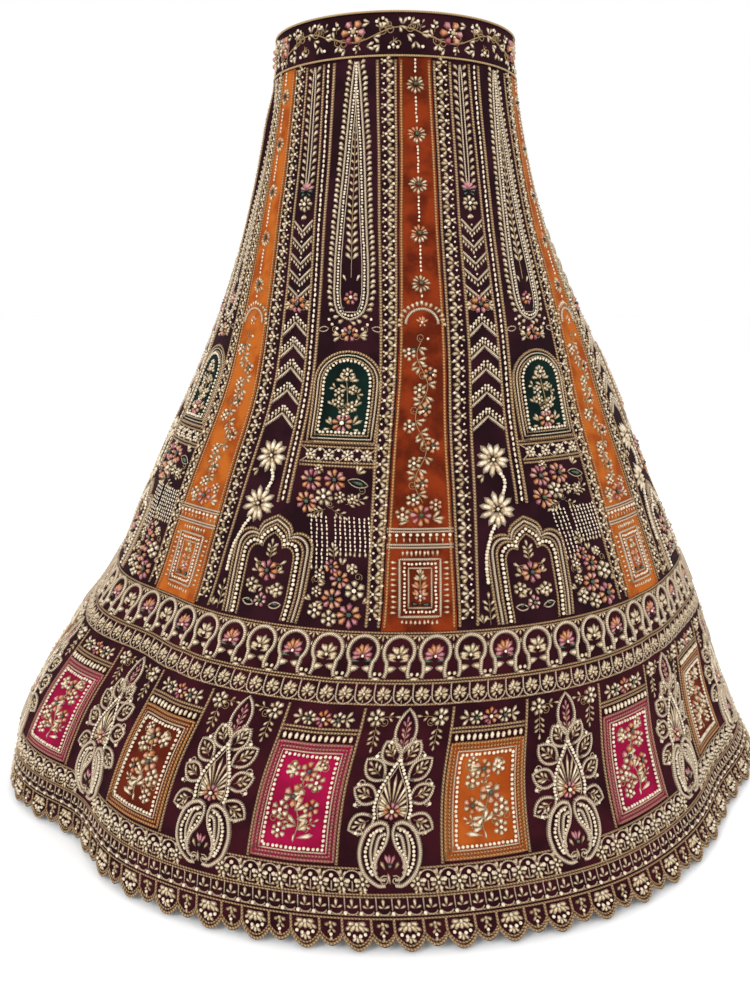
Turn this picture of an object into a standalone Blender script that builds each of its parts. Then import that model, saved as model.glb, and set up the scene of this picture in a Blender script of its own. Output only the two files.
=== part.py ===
"""Panelled velvet lehenga skirt, held open at the waist as it hangs when worn.

Metres, +Z up, front towards -Y. The origin is the middle of the waistband, half way up the band.
Every piece is cut from one cloth surface, place(u, drop, lift):
u counts units round the skirt, 0 at the centre front and growing towards +X, eight units in all,
drop is the depth below the waist seam, and lift is the distance out from the cloth's face.
"""

import math

import bmesh
import bpy
import numpy as np

# Sizes of the cut
BAND = 0.051
LENGTH = 0.930
SEAM_GAP = 0.0003
CLOTH_WALL = 0.0020
BAND_WALL = 0.0024
UNITS = 8
WAIST_Z = -BAND / 2


def table(columns, rows):
    """A short table as named columns."""
    return dict(zip(columns, np.array(rows).T))


# The form the cloth takes at rings below the waist seam, from the waistband's top edge to the hem
FORM = table(("drop", "half_width", "half_depth", "shift"), [
    (-0.0510, 0.158, 0.123, 0.000),
    (0.0000, 0.163, 0.127, 0.000),
    (0.0930, 0.182, 0.147, 0.000),
    (0.1860, 0.210, 0.182, 0.001),
    (0.2790, 0.248, 0.230, 0.007),
    (0.3720, 0.293, 0.280, 0.012),
    (0.4650, 0.338, 0.319, 0.010),
    (0.5580, 0.381, 0.354, 0.008),
    (0.6340, 0.416, 0.383, 0.006),
    (0.7050, 0.455, 0.419, -0.004),
    (0.7900, 0.499, 0.460, -0.022),
    (0.8500, 0.527, 0.486, -0.024),
    (0.9300, 0.560, 0.515, -0.014),
])

# How the units lie round the skirt: the direction of the front centre in degrees, the share of the
# waist's uneven spacing that is left, and half the width of a colour kali as a part of its unit
SPREAD = table(("drop", "front_turn", "waist_share", "kali_half"), [
    (-0.0510, 7.5, 1.00, 0.106),
    (0.0000, 7.5, 1.00, 0.107),
    (0.1500, 7.3, 0.76, 0.111),
    (0.2830, 4.6, 0.33, 0.116),
    (0.3930, 2.6, 0.02, 0.121),
    (0.5000, 2.3, 0.00, 0.125),
    (0.6340, 2.1, 0.00, 0.128),
    (0.9300, 1.0, 0.00, 0.128),
])
# At the waist the two front units are wide, and the six behind are eased into the rest
WAIST_UNIT = (-4.0, -1.0, 1.0, 4.0)
WAIST_DIRECTION = (-180.0, -66.0, 66.0, 180.0)

# Gathers of the back units, which start under the band and run out above the knee. They begin and
# reach their height at these units from the front.
GATHERS_BEGIN = 1.1
GATHERS_FULL = 1.6
GATHERS_A_UNIT = 3
GATHER_HEIGHT = 0.0055
GATHER_RISE = 0.060
GATHER_LENGTH = 0.330
# Their spacing sways a little, and their heights and lengths vary round the back
GATHER_SWAY = 0.7
GATHER_VARIETY = 0.3

# The large soft folds of the lower skirt: place, half width in units, height out at the hem, top.
# A power under 1 makes them swell soon below their tops.
FOLD_SWELL = 0.8
FOLDS = table(("unit", "half_width", "height", "starts"), [
    (-1.03, 0.17, -0.020, 0.50),
    (-1.42, 0.20, 0.015, 0.42),
    (-1.90, 0.16, -0.014, 0.55),
    (-2.36, 0.22, 0.017, 0.36),
    (-2.86, 0.17, -0.016, 0.48),
    (-3.30, 0.20, 0.014, 0.58),
    (-3.77, 0.18, -0.018, 0.40),
    (0.62, 0.26, 0.006, 0.56),
    (1.21, 0.18, -0.010, 0.60),
    (1.62, 0.22, 0.014, 0.44),
    (2.10, 0.17, -0.016, 0.52),
    (2.58, 0.21, 0.016, 0.38),
    (3.04, 0.16, -0.013, 0.57),
    (3.45, 0.22, 0.015, 0.45),
])

# Lines down a maroon kali as parts of its width, five of them at its window, and down a colour kali
MAROON_LINES = np.array([0.0, 0.10, 0.20, 0.30, 0.41, 0.529, 0.594, 0.684, 0.774, 0.839, 0.92, 1.0])
WINDOW_LINES = slice(5, 10)
COLOUR_LINES = np.array([0.0, 0.5, 1.0])

# Levels of the rows down the skirt, as drops below the waist seam
KALI_LEVELS = (0.05, 0.10, 0.17, 0.25, 0.344, 0.375, 0.437, 0.53)
PANELS_END = 0.634
ARCHES_END = 0.705
BORDER_END = 0.8975
SCALLOP_NOTCH = 0.9165
SCALLOP_LOW = {"wide": 0.930, "narrow": 0.926}
SCALLOP_PAIR = 0.125
WIDE_SHARE = 0.56
SCALLOP_SHARES = (0.0, 0.28, 0.72)

# Applied pieces: velvet skins that lie on the wall
SKIN_LIFT = 0.0003
SKIN_WALL = 0.0012
PATCH_LEVELS = np.array([0.741, 0.795, 0.848])
PATCH_REACH = 0.112
WINDOW_TOPS = np.array([0.372, 0.352, 0.344, 0.352, 0.372])
WINDOW_LEVELS = (0.375, 0.437)

# Padded fan motifs, one every half unit, raised in the lower border's outer face: the lines of cloth
# beside each fan, then its half width and its height out at levels down the fan. The middle part of
# the width is flat on top.
FAN_PITCH = 0.5
FAN_FOOT = 0.872
FAN_FLAT = 0.55
FAN_LINES = np.array([0.0, 0.045, 0.085, 0.140, 0.195, 0.250, 0.305, 0.360, 0.415, 0.455])
FAN = table(("drop", "half_width", "height"), [
    (0.7140, 0.000, 0.0000),
    (0.7410, 0.034, 0.0026),
    (0.7950, 0.046, 0.0030),
    (0.8480, 0.040, 0.0030),
    (0.8720, 0.000, 0.0000),
])

# Trim and fastening
BAND_LINES = 9
PIPING_RADIUS = 0.0012
PIPING_SIDES = 4
SMOOTH_ANGLE = math.radians(40)
HOOK_LENGTH = 0.012
HOOK_DEPTH = 0.007
HOOK_PLATE = 0.0008
HOOK_STEP = 0.001
HOOK_REACH = 0.009
BAR_START = 0.003
HOOK_DROPS = (-0.038, -0.014)

# Steps used to measure the cloth's slopes and its width
NEAR_UNITS = 0.004
NEAR_DROP = 0.001
SPAN_UNITS = 0.01

# sRGB colour, roughness, metallic
FINISHES = {
    "maroon_velvet": ("#2e1121", 0.85, 0.0),
    "wine_velvet": ("#451526", 0.85, 0.0),
    "rust_velvet": ("#8f3a14", 0.80, 0.0),
    "orange_velvet": ("#d8742c", 0.80, 0.0),
    "crimson_velvet": ("#a8114a", 0.80, 0.0),
    "green_velvet": ("#0c2721", 0.85, 0.0),
    "gold_cord": ("#b2965c", 0.40, 0.8),
    "brass": ("#b08d4a", 0.35, 1.0),
}


def read(rows, column, at):
    """Reads one column of a table on a smooth curve through its rows, at drops below the waist seam."""
    x = rows["drop"]
    y = rows[column]
    slope = np.gradient(y, x)
    at = np.clip(at, x[0], x[-1])
    row = np.clip(np.searchsorted(x, at) - 1, 0, len(x) - 2)
    step = x[row + 1] - x[row]
    t = (at - x[row]) / step
    start = (1 + 2 * t) * (1 - t) ** 2 * y[row] + t * (1 - t) ** 2 * step * slope[row]
    end = t * t * (3 - 2 * t) * y[row + 1] + t * t * (t - 1) * step * slope[row + 1]
    return start + end


def ease(t):
    """Rises smoothly from 0 at t = 0 to 1 at t = 1."""
    t = np.clip(t, 0, 1)
    return t * t * (3 - 2 * t)


def wrapped(u):
    """The same place round the skirt, counted from the back: -4 to 4."""
    return (u + UNITS / 2) % UNITS - UNITS / 2


def direction(u, drop):
    """Direction of the cloth seen from above, in radians from the front."""
    even = 360 / UNITS * u
    whole_turns = 360 / UNITS * (u - wrapped(u))
    waist = np.interp(wrapped(u), WAIST_UNIT, WAIST_DIRECTION) + whole_turns
    share = read(SPREAD, "waist_share", drop)
    return np.radians(read(SPREAD, "front_turn", drop) + even + share * (waist - even))


def gathers(u, drop):
    """How far the gathers of the back lift the cloth."""
    turn = 2 * math.pi * u / UNITS
    phase = UNITS * GATHERS_A_UNIT * turn + GATHER_SWAY * np.sin(3 * turn + 1)
    height = GATHER_HEIGHT * (1 + GATHER_VARIETY * np.sin(5 * turn))
    length = GATHER_LENGTH * (1 + GATHER_VARIETY * np.sin(7 * turn + 2))
    behind = ease((np.abs(wrapped(u)) - GATHERS_BEGIN) / (GATHERS_FULL - GATHERS_BEGIN))
    fade = ease(drop / GATHER_RISE) * (1 - ease(drop / length))
    return height * behind * fade * np.sin(phase)


def folds(u, drop):
    """How far the large folds lift the cloth."""
    total = 0.0 * u
    for centre, half_width, height, starts in zip(*FOLDS.values()):
        across = np.exp(-(wrapped(u - centre) / half_width) ** 2)
        total = total + height * across * ease((drop - starts) / (LENGTH - starts)) ** FOLD_SWELL
    return total


def bare(u, drop):
    """A point of the cloth's outer face."""
    turn = direction(u, drop)
    out = gathers(u, drop) + folds(u, drop)
    x = read(FORM, "shift", drop) + (read(FORM, "half_width", drop) + out) * np.sin(turn)
    y = -(read(FORM, "half_depth", drop) + out) * np.cos(turn)
    return np.stack(np.broadcast_arrays(x, y, WAIST_Z - drop), axis=-1)


def place(u, drop, lift):
    """A point that lies lift metres out from the cloth's outer face."""
    u, drop, lift = np.broadcast_arrays(np.asarray(u, float), drop, lift)
    across = bare(u + NEAR_UNITS, drop) - bare(u - NEAR_UNITS, drop)
    down = bare(u, drop + NEAR_DROP) - bare(u, drop - NEAR_DROP)
    out = np.cross(down, across)
    out /= np.linalg.norm(out, axis=-1, keepdims=True)
    return bare(u, drop) + lift[..., None] * out


def units_a_metre(u, drop):
    """Units that one metre of cloth spans, measured round the skirt."""
    span = np.linalg.norm(bare(u + SPAN_UNITS, drop) - bare(u - SPAN_UNITS, drop), axis=-1)
    return 2 * SPAN_UNITS / span


def material(name):
    """A Principled material in one of the finishes."""
    made = bpy.data.materials.get(name)
    if made is None:
        colour, roughness, metallic = FINISHES[name]
        made = bpy.data.materials.new(name)
        made.use_nodes = True
        shader = made.node_tree.nodes["Principled BSDF"]
        channels = [int(colour[i:i + 2], 16) / 255 for i in (1, 3, 5)]
        linear = [c / 12.92 if c <= 0.04045 else ((c + 0.055) / 1.055) ** 2.4 for c in channels]
        shader.inputs["Base Color"].default_value = (*linear, 1)
        shader.inputs["Roughness"].default_value = roughness
        shader.inputs["Metallic"].default_value = metallic
    return made


def finish(name, finish_name, work):
    """Turns a bmesh into a named object with its material."""
    mesh = bpy.data.meshes.new(name)
    work.to_mesh(mesh)
    work.free()
    mesh.shade_smooth()
    mesh.set_sharp_from_angle(angle=SMOOTH_ANGLE)
    mesh.materials.append(material(finish_name))
    piece = bpy.data.objects.new(name, mesh)
    bpy.context.scene.collection.objects.link(piece)
    return piece


def split(work, a, b, c, d):
    """Two triangles for a four-sided stretch, always on the same diagonal, so that layers stay parallel."""
    work.faces.new((a, b, c))
    work.faces.new((a, c, d))


def wall(name, finish_name, u, drop, lift, thick):
    """A closed wall of cloth: a grid of outer points, a plain inner face below them, and edges.

    u, drop and lift are grids with a row for each level and a column for each line down the cloth.
    """
    u, drop, lift = np.broadcast_arrays(u, drop, lift)
    outer_points = place(u, drop, lift)
    inner_points = place(u, drop, lift.min() - thick)
    work = bmesh.new()
    outer = [[work.verts.new(p) for p in row] for row in outer_points]
    inner = [[work.verts.new(p) for p in row] for row in inner_points]
    for i in range(len(outer) - 1):
        for j in range(len(outer[0]) - 1):
            split(work, outer[i][j], outer[i + 1][j], outer[i + 1][j + 1], outer[i][j + 1])
            split(work, inner[i + 1][j + 1], inner[i + 1][j], inner[i][j], inner[i][j + 1])
        split(work, inner[i][0], inner[i + 1][0], outer[i + 1][0], outer[i][0])
        split(work, inner[i][-1], outer[i][-1], outer[i + 1][-1], inner[i + 1][-1])
    for j in range(len(outer[0]) - 1):
        split(work, outer[0][j], outer[0][j + 1], inner[0][j + 1], inner[0][j])
        split(work, outer[-1][j], inner[-1][j], inner[-1][j + 1], outer[-1][j + 1])
    return finish(name, finish_name, work)


def between(left, right, parts):
    """Lines at parts of the way from a left edge to a right edge, both of which change with the drop."""
    return left[:, None] * (1 - parts) + right[:, None] * parts


def gap_in_units(u, drop):
    """Half of a seam's gap, in units, along a seam that runs down the skirt."""
    return SEAM_GAP / 2 * units_a_metre(u, drop)


def kali_edge(unit, side, levels):
    """The seam line on one side of a colour kali, in units, at each level."""
    return unit + side * read(SPREAD, "kali_half", levels)


def kali(name, finish_name, left_edge, right_edge, parts):
    """One gore between two seams, each given as its unit and the side of that unit's colour kali."""
    levels = np.array([SEAM_GAP / 2, *KALI_LEVELS, PANELS_END - SEAM_GAP / 2])
    left = kali_edge(*left_edge, levels)
    right = kali_edge(*right_edge, levels)
    left = left + gap_in_units(left, levels)
    right = right - gap_in_units(right, levels)
    wall(name, finish_name, between(left, right, parts), levels[:, None], 0.0, CLOTH_WALL)


def kalis():
    """Eight narrow colour kalis, rust and orange in turn, and eight wide maroon ones between them."""
    for unit in range(-3, 5):
        colour = "rust" if unit % 2 == 0 else "orange"
        kali(f"{colour}_kali_{unit % UNITS + 1}", f"{colour}_velvet", (unit, -1), (unit, 1), COLOUR_LINES)
    for unit in range(-4, 4):
        kali(f"maroon_kali_{unit % UNITS + 1}", "maroon_velvet", (unit, 1), (unit + 1, -1), MAROON_LINES)


def half_span(half):
    """The left and right ends of a border half, in units: the seams are centre front and back."""
    start = 0.0 if half == "right" else -UNITS / 2
    return start, start + UNITS / 2


def columns_of(half):
    """Lines down a border half: the same ones in each half unit, close together across its fan."""
    start, end = half_span(half)
    cells = np.arange(start, end, FAN_PITCH)
    return np.append((cells[:, None] + FAN_LINES[None, :]).ravel(), end)


def with_seam_gaps(lines, levels):
    """A grid of lines whose first and last keep clear of the seams."""
    u = np.repeat(lines[None, :], len(levels), axis=0)
    u[:, 0] += gap_in_units(u[:, 0], levels)
    u[:, -1] -= gap_in_units(u[:, -1], levels)
    return u


def arch_border(half):
    """The band that joins all kalis, worked with a row of arches and a row of small cells."""
    levels = np.array([PANELS_END + SEAM_GAP / 2, ARCHES_END - SEAM_GAP / 2])
    lines = columns_of(half)
    wall(f"arch_border_{half}", "wine_velvet", with_seam_gaps(lines, levels), levels[:, None], 0.0, CLOTH_WALL)


def fan_height(u, drop):
    """How far a padded fan lifts the border's face; fans stand at every half unit."""
    across = np.abs((u + FAN_PITCH / 2) % FAN_PITCH - FAN_PITCH / 2) / units_a_metre(u, drop)
    half_width = np.interp(drop, FAN["drop"], FAN["half_width"])
    height = np.interp(drop, FAN["drop"], FAN["height"])
    across = across / np.maximum(half_width, 1e-6)
    return height * (1 - ease((across - FAN_FLAT) / (1 - FAN_FLAT)))


def lower_border(half):
    """The deep border, with sixteen padded fans raised in its face."""
    levels = np.array([ARCHES_END + SEAM_GAP / 2, *PATCH_LEVELS, FAN_FOOT, BORDER_END - SEAM_GAP / 2])
    u = with_seam_gaps(columns_of(half), levels)
    drop = np.repeat(levels[:, None], u.shape[1], axis=1)
    wall(f"lower_border_{half}", "wine_velvet", u, drop, fan_height(u, drop), CLOTH_WALL)


def scalloped_edge(start, end):
    """Lines and lowest points of a scalloped edge: a wide scallop, then a narrow one, in turn."""
    lines = []
    lows = []
    wide = WIDE_SHARE * SCALLOP_PAIR
    for i in range(round((end - start) / SCALLOP_PAIR)):
        for kind, at, width in (("wide", 0.0, wide), ("narrow", wide, SCALLOP_PAIR - wide)):
            for share in SCALLOP_SHARES:
                lines.append(start + i * SCALLOP_PAIR + at + share * width)
                lows.append(SCALLOP_NOTCH if share == 0.0 else SCALLOP_LOW[kind])
    return np.array(lines + [end]), np.array(lows + [SCALLOP_NOTCH])


def hem_band(half):
    """The lowest band, cut in 128 scallops all round."""
    lines, lows = scalloped_edge(*half_span(half))
    top = BORDER_END + SEAM_GAP / 2
    u = with_seam_gaps(lines, np.array([top, BORDER_END]))
    drop = np.stack([np.full(len(lines), top), lows])
    wall(f"scalloped_hem_{half}", "wine_velvet", u, drop, 0.0, CLOTH_WALL)


def patches():
    """Sixteen square velvet patches between the fans, crimson ones between orange and rust ones."""
    lines = FAN_LINES[np.abs(FAN_LINES - FAN_PITCH / 2) <= PATCH_REACH]
    for i in range(2 * UNITS):
        u = FAN_PITCH * i - UNITS / 2 + lines[None, :]
        colour = ("orange", "crimson", "rust", "crimson")[i % 4]
        lift = SKIN_LIFT + SKIN_WALL
        wall(f"{colour}_patch_{i + 1}", f"{colour}_velvet", u, PATCH_LEVELS[:, None], lift, SKIN_WALL)


def windows():
    """Eight dark green arch-topped windows, one on each maroon kali."""
    drop = np.stack([WINDOW_TOPS] + [np.full(len(WINDOW_TOPS), level) for level in WINDOW_LEVELS])
    parts = MAROON_LINES[WINDOW_LINES]
    for unit in range(-4, 4):
        u = kali_edge(unit, 1, drop) * (1 - parts) + kali_edge(unit + 1, -1, drop) * parts
        wall(f"green_window_{unit % UNITS + 1}", "green_velvet", u, drop, SKIN_LIFT + SKIN_WALL, SKIN_WALL)


def band_lines(opening):
    """Lines round the waistband, from its opening all round to its opening again."""
    lines = opening + np.arange(UNITS * BAND_LINES + 1) / BAND_LINES
    clear = gap_in_units(lines[[0, -1]], 0.0)
    lines[0] += clear[0]
    lines[-1] -= clear[1]
    return lines


def waistband(opening):
    """The band that the waist holds, open at the back beside the rust kali."""
    drop = np.array([[-BAND], [-SEAM_GAP / 2]])
    wall("waistband", "maroon_velvet", band_lines(opening)[None, :], drop, 0.0, BAND_WALL)


def piping(name, drop, opening):
    """A thin round cord sewn along one edge of the band."""
    lines = band_lines(opening)
    sides = PIPING_SIDES
    turns = 2 * math.pi * np.arange(sides) / sides
    work = bmesh.new()
    rings = []
    for line in lines:
        lift = PIPING_RADIUS + SKIN_LIFT + PIPING_RADIUS * np.cos(turns)
        ring = place(np.full(sides, line), drop + PIPING_RADIUS * np.sin(turns), lift)
        rings.append([work.verts.new(p) for p in ring])
    for near, far in zip(rings, rings[1:]):
        for k in range(sides):
            work.faces.new((near[k], near[(k + 1) % sides], far[(k + 1) % sides], far[k]))
    work.faces.new(list(reversed(rings[0])))
    work.faces.new(rings[-1])
    finish(name, "gold_cord", work)


def fastening(opening):
    """Two hooks inside the band's ends, each over its bar, fastened."""
    seat = -BAND_WALL - SKIN_LIFT
    tongue = seat - HOOK_PLATE - SKIN_LIFT
    for i, middle in enumerate(HOOK_DROPS):
        drop = middle + np.array([[-HOOK_DEPTH / 2], [HOOK_DEPTH / 2]])
        metre = units_a_metre(opening, 0.0)
        hook = opening + np.array([[-HOOK_LENGTH, -HOOK_STEP, HOOK_STEP, HOOK_REACH]]) * metre
        bar = opening + np.array([[BAR_START, HOOK_LENGTH]]) * metre
        wall(f"waist_hook_{i + 1}", "brass", hook, drop, np.array([[seat, seat, tongue, tongue]]), HOOK_PLATE)
        wall(f"waist_hook_bar_{i + 1}", "brass", bar, drop, seat, HOOK_PLATE)


for old in list(bpy.data.objects):
    bpy.data.objects.remove(old, do_unlink=True)

OPENING = UNITS / 2 - read(SPREAD, "kali_half", 0.0)
waistband(OPENING)
piping("waist_piping_top", -BAND + PIPING_RADIUS, OPENING)
piping("waist_piping_bottom", -PIPING_RADIUS - SEAM_GAP, OPENING)
fastening(OPENING)
kalis()
windows()
for side in ("left", "right"):
    arch_border(side)
    lower_border(side)
    hem_band(side)
patches()
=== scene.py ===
import math

import bpy
import numpy as np
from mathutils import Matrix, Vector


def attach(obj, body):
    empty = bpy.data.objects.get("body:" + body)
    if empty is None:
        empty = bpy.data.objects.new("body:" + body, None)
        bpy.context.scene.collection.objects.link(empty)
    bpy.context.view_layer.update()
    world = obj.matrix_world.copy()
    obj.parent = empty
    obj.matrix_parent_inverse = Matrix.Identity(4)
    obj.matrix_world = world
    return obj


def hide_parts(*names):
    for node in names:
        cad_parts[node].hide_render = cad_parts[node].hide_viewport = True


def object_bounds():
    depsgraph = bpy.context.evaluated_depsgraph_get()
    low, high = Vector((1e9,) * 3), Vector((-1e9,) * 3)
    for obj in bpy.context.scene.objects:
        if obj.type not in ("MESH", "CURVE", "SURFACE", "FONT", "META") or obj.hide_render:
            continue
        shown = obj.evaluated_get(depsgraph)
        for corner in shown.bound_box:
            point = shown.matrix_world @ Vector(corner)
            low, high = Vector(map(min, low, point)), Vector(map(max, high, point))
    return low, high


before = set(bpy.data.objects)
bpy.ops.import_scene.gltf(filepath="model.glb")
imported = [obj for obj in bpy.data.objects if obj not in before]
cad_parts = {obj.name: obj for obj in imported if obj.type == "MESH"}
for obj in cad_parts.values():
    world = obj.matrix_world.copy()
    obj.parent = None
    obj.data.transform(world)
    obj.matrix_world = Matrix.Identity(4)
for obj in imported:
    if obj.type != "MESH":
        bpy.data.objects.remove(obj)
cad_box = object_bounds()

# Camera, light and floor
# The skirt is seen from just left of its front and a little above, as it hangs at its own height.
# The floor is plain and pale, and soft light comes from two large panels in front and one behind.
EYE = (-0.0271, -1.1533, -0.3076)
LOOKS_DOWN = math.radians(14.77)
LENS_MM = 27.47
FLOOR_Z = cad_box[0][2] - 0.004


def add_node(tree, kind, inputs=None, **settings):
    """Adds a node with its settings, and sets or links its inputs."""
    made = tree.nodes.new("ShaderNode" + kind)
    for name, value in settings.items():
        setattr(made, name, value)
    for name, value in (inputs or {}).items():
        if isinstance(value, bpy.types.NodeSocket):
            tree.links.new(value, made.inputs[name])
        else:
            made.inputs[name].default_value = value
    return made


def linear(colour):
    """An sRGB hex colour as linear red, green, blue and alpha."""
    channels = [int(colour[i:i + 2], 16) / 255 for i in (1, 3, 5)]
    return [c / 12.92 if c <= 0.04045 else ((c + 0.055) / 1.055) ** 2.4 for c in channels] + [1.0]


def new_material(name, values):
    """A material with values set on its Principled shader, as (material, tree, shader)."""
    made = bpy.data.materials.new(name)
    made.use_nodes = True
    shader = made.node_tree.nodes["Principled BSDF"]
    for socket, value in values.items():
        shader.inputs[socket].default_value = value
    return made, made.node_tree, shader


bpy.ops.object.select_all(action="DESELECT")
bpy.ops.object.camera_add(location=EYE, rotation=(math.pi / 2 - LOOKS_DOWN, 0, 0))
camera = bpy.context.object
camera.data.sensor_fit = "VERTICAL"
camera.data.sensor_height = 36
camera.data.lens = LENS_MM
camera.data.clip_start = 0.05
bpy.context.scene.camera = camera
bpy.context.scene.view_settings.view_transform = "Standard"

bpy.ops.mesh.primitive_plane_add(size=60, location=(0, 0, FLOOR_Z))
floor = bpy.context.object
floor.name = "pale_floor"
matt_floor, _, _ = new_material("matt_pale_floor", {"Base Color": linear("#ffffff"), "Roughness": 0.85})
floor.data.materials.append(matt_floor)

# Soft panels of light: place, watts, side
PANELS_OF_LIGHT = ((-2.2, -2.6, 1.9, 58, 1.6), (2.5, -2.2, 1.5, 26, 1.8), (0.4, 2.6, 2.2, 36, 2.6))
for x, y, z, watts, side in PANELS_OF_LIGHT:
    bpy.ops.object.light_add(type="AREA", location=(x, y, z))
    panel = bpy.context.object
    panel.data.energy = watts
    panel.data.size = side
    panel.rotation_euler = (math.atan2(math.hypot(x, y), z + 0.5), 0, math.atan2(-x, y) + math.pi)
world = bpy.data.worlds.new("soft_studio")
world.use_nodes = True
world.node_tree.nodes["Background"].inputs["Color"].default_value = linear("#ffffff")
world.node_tree.nodes["Background"].inputs["Strength"].default_value = 1.0
bpy.context.scene.world = world

# Velvet panels, the kalis
# Eight narrow colour kalis, rust and orange in turn, and eight wide dark maroon ones are cut from
# short-pile silk velvet with its backing, seamed edge to edge from the waistband down to the borders.
# They hang in the form that the waist, hips and net underskirt give them, gathered behind.
UNITS = 8
# A unit is one colour kali and one maroon kali, counted from the centre front
EVERY_UNIT = range(-4, 4)
LENGTH = 0.930
BAND = 0.051
WAIST_Z = -BAND / 2
SEAM_GAP = 0.00005
CLOTH_WALL = 0.0020
PANELS_END = 0.634
ARCHES_END = 0.705
BORDER_END = 0.8975
KALI_ROWS = 60

# Rings of the form: drop below the waist seam, half width, half depth, shift to the side
FORM = np.array([
    (-0.0510, 0.158, 0.123, 0.000),
    (0.0000, 0.163, 0.127, 0.000),
    (0.0930, 0.182, 0.147, 0.000),
    (0.1860, 0.210, 0.182, 0.001),
    (0.2790, 0.248, 0.230, 0.007),
    (0.3720, 0.293, 0.280, 0.012),
    (0.4650, 0.338, 0.319, 0.010),
    (0.5580, 0.381, 0.354, 0.008),
    (0.6340, 0.416, 0.383, 0.006),
    (0.7050, 0.455, 0.419, -0.004),
    (0.7900, 0.499, 0.460, -0.022),
    (0.8500, 0.527, 0.486, -0.024),
    (0.9300, 0.560, 0.515, -0.014),
])
# How the units lie: drop, turn of the front, share of the waist's uneven spacing, half a colour kali
SPREAD = np.array([
    (-0.0510, 7.5, 1.00, 0.106),
    (0.0000, 7.5, 1.00, 0.107),
    (0.1500, 7.3, 0.76, 0.111),
    (0.2830, 4.6, 0.33, 0.116),
    (0.3930, 2.6, 0.02, 0.121),
    (0.5000, 2.3, 0.00, 0.125),
    (0.6340, 2.1, 0.00, 0.128),
    (0.9300, 1.0, 0.00, 0.128),
])
WAIST_UNIT = (-4.0, -1.0, 1.0, 4.0)
WAIST_DIRECTION = (-180.0, -66.0, 66.0, 180.0)
GATHERS_A_UNIT = 3
GATHER_HEIGHT = 0.0055
GATHER_RISE = 0.060
GATHER_LENGTH = 0.330
# Large soft folds: unit, half width in units, height out at the hem, drop where it starts
FOLDS = (
    (-1.03, 0.17, -0.020, 0.50), (-1.42, 0.20, 0.015, 0.42), (-1.90, 0.16, -0.014, 0.55),
    (-2.36, 0.22, 0.017, 0.36), (-2.86, 0.17, -0.016, 0.48), (-3.30, 0.20, 0.014, 0.58),
    (-3.77, 0.18, -0.018, 0.40), (0.62, 0.26, 0.006, 0.56), (1.21, 0.18, -0.010, 0.60),
    (1.62, 0.22, 0.014, 0.44), (2.10, 0.17, -0.016, 0.52), (2.58, 0.21, 0.016, 0.38),
    (3.04, 0.16, -0.013, 0.57), (3.45, 0.22, 0.015, 0.45),
)
# Main creases: unit, its drift over the whole length, half width in units, height, drops of its ends
CREASES = (
    (0.30, 0.05, 0.045, -0.0016, 0.03, 0.36), (0.55, -0.03, 0.060, 0.0014, 0.08, 0.50),
    (0.86, 0.02, 0.035, -0.0018, 0.01, 0.28), (-0.17, 0.04, 0.050, -0.0015, 0.05, 0.44),
    (-0.48, -0.05, 0.060, 0.0018, 0.02, 0.33), (-0.72, 0.03, 0.045, -0.0020, 0.12, 0.58),
    (1.36, -0.04, 0.055, 0.0020, 0.04, 0.40), (1.81, 0.05, 0.050, -0.0022, 0.10, 0.62),
    (-1.66, 0.04, 0.050, -0.0020, 0.06, 0.52), (-2.13, -0.05, 0.060, 0.0022, 0.02, 0.46),
    (-2.60, 0.03, 0.045, -0.0018, 0.20, 0.66), (-3.52, -0.04, 0.055, 0.0020, 0.14, 0.60),
    (2.32, 0.05, 0.050, -0.0020, 0.18, 0.64), (2.83, -0.03, 0.055, 0.0022, 0.08, 0.54),
    (3.24, 0.04, 0.045, -0.0018, 0.22, 0.70), (3.72, -0.05, 0.060, 0.0020, 0.10, 0.58),
    (0.18, -0.02, 0.040, -0.0012, 0.62, 0.92), (0.93, 0.03, 0.050, -0.0018, 0.55, 0.92),
    (-0.27, 0.02, 0.050, 0.0016, 0.60, 0.92), (-0.79, -0.03, 0.045, -0.0020, 0.58, 0.92),
)


def read(table, column, at):
    """Reads one column of a table on a smooth curve through its rows."""
    x = table[:, 0]
    y = table[:, column]
    slope = np.gradient(y, x)
    at = np.clip(at, x[0], x[-1])
    row = np.clip(np.searchsorted(x, at) - 1, 0, len(x) - 2)
    step = x[row + 1] - x[row]
    t = (at - x[row]) / step
    start = (1 + 2 * t) * (1 - t) ** 2 * y[row] + t * (1 - t) ** 2 * step * slope[row]
    end = t * t * (3 - 2 * t) * y[row + 1] + t * t * (t - 1) * step * slope[row + 1]
    return start + end


def half_kali(drop):
    """Half the width of a colour kali, in units."""
    return read(SPREAD, 3, drop)


def ease(t):
    """Rises smoothly from 0 at t = 0 to 1 at t = 1."""
    t = np.clip(t, 0, 1)
    return t * t * (3 - 2 * t)


def wrapped(u):
    """The same place round the skirt, counted from the back: -4 to 4."""
    return (u + UNITS / 2) % UNITS - UNITS / 2


def direction(u, drop):
    """Direction of the cloth seen from above, in radians from the front."""
    even = 360 / UNITS * u
    whole_turns = 360 / UNITS * (u - wrapped(u))
    waist = np.interp(wrapped(u), WAIST_UNIT, WAIST_DIRECTION) + whole_turns
    return np.radians(read(SPREAD, 1, drop) + even + read(SPREAD, 2, drop) * (waist - even))


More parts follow.
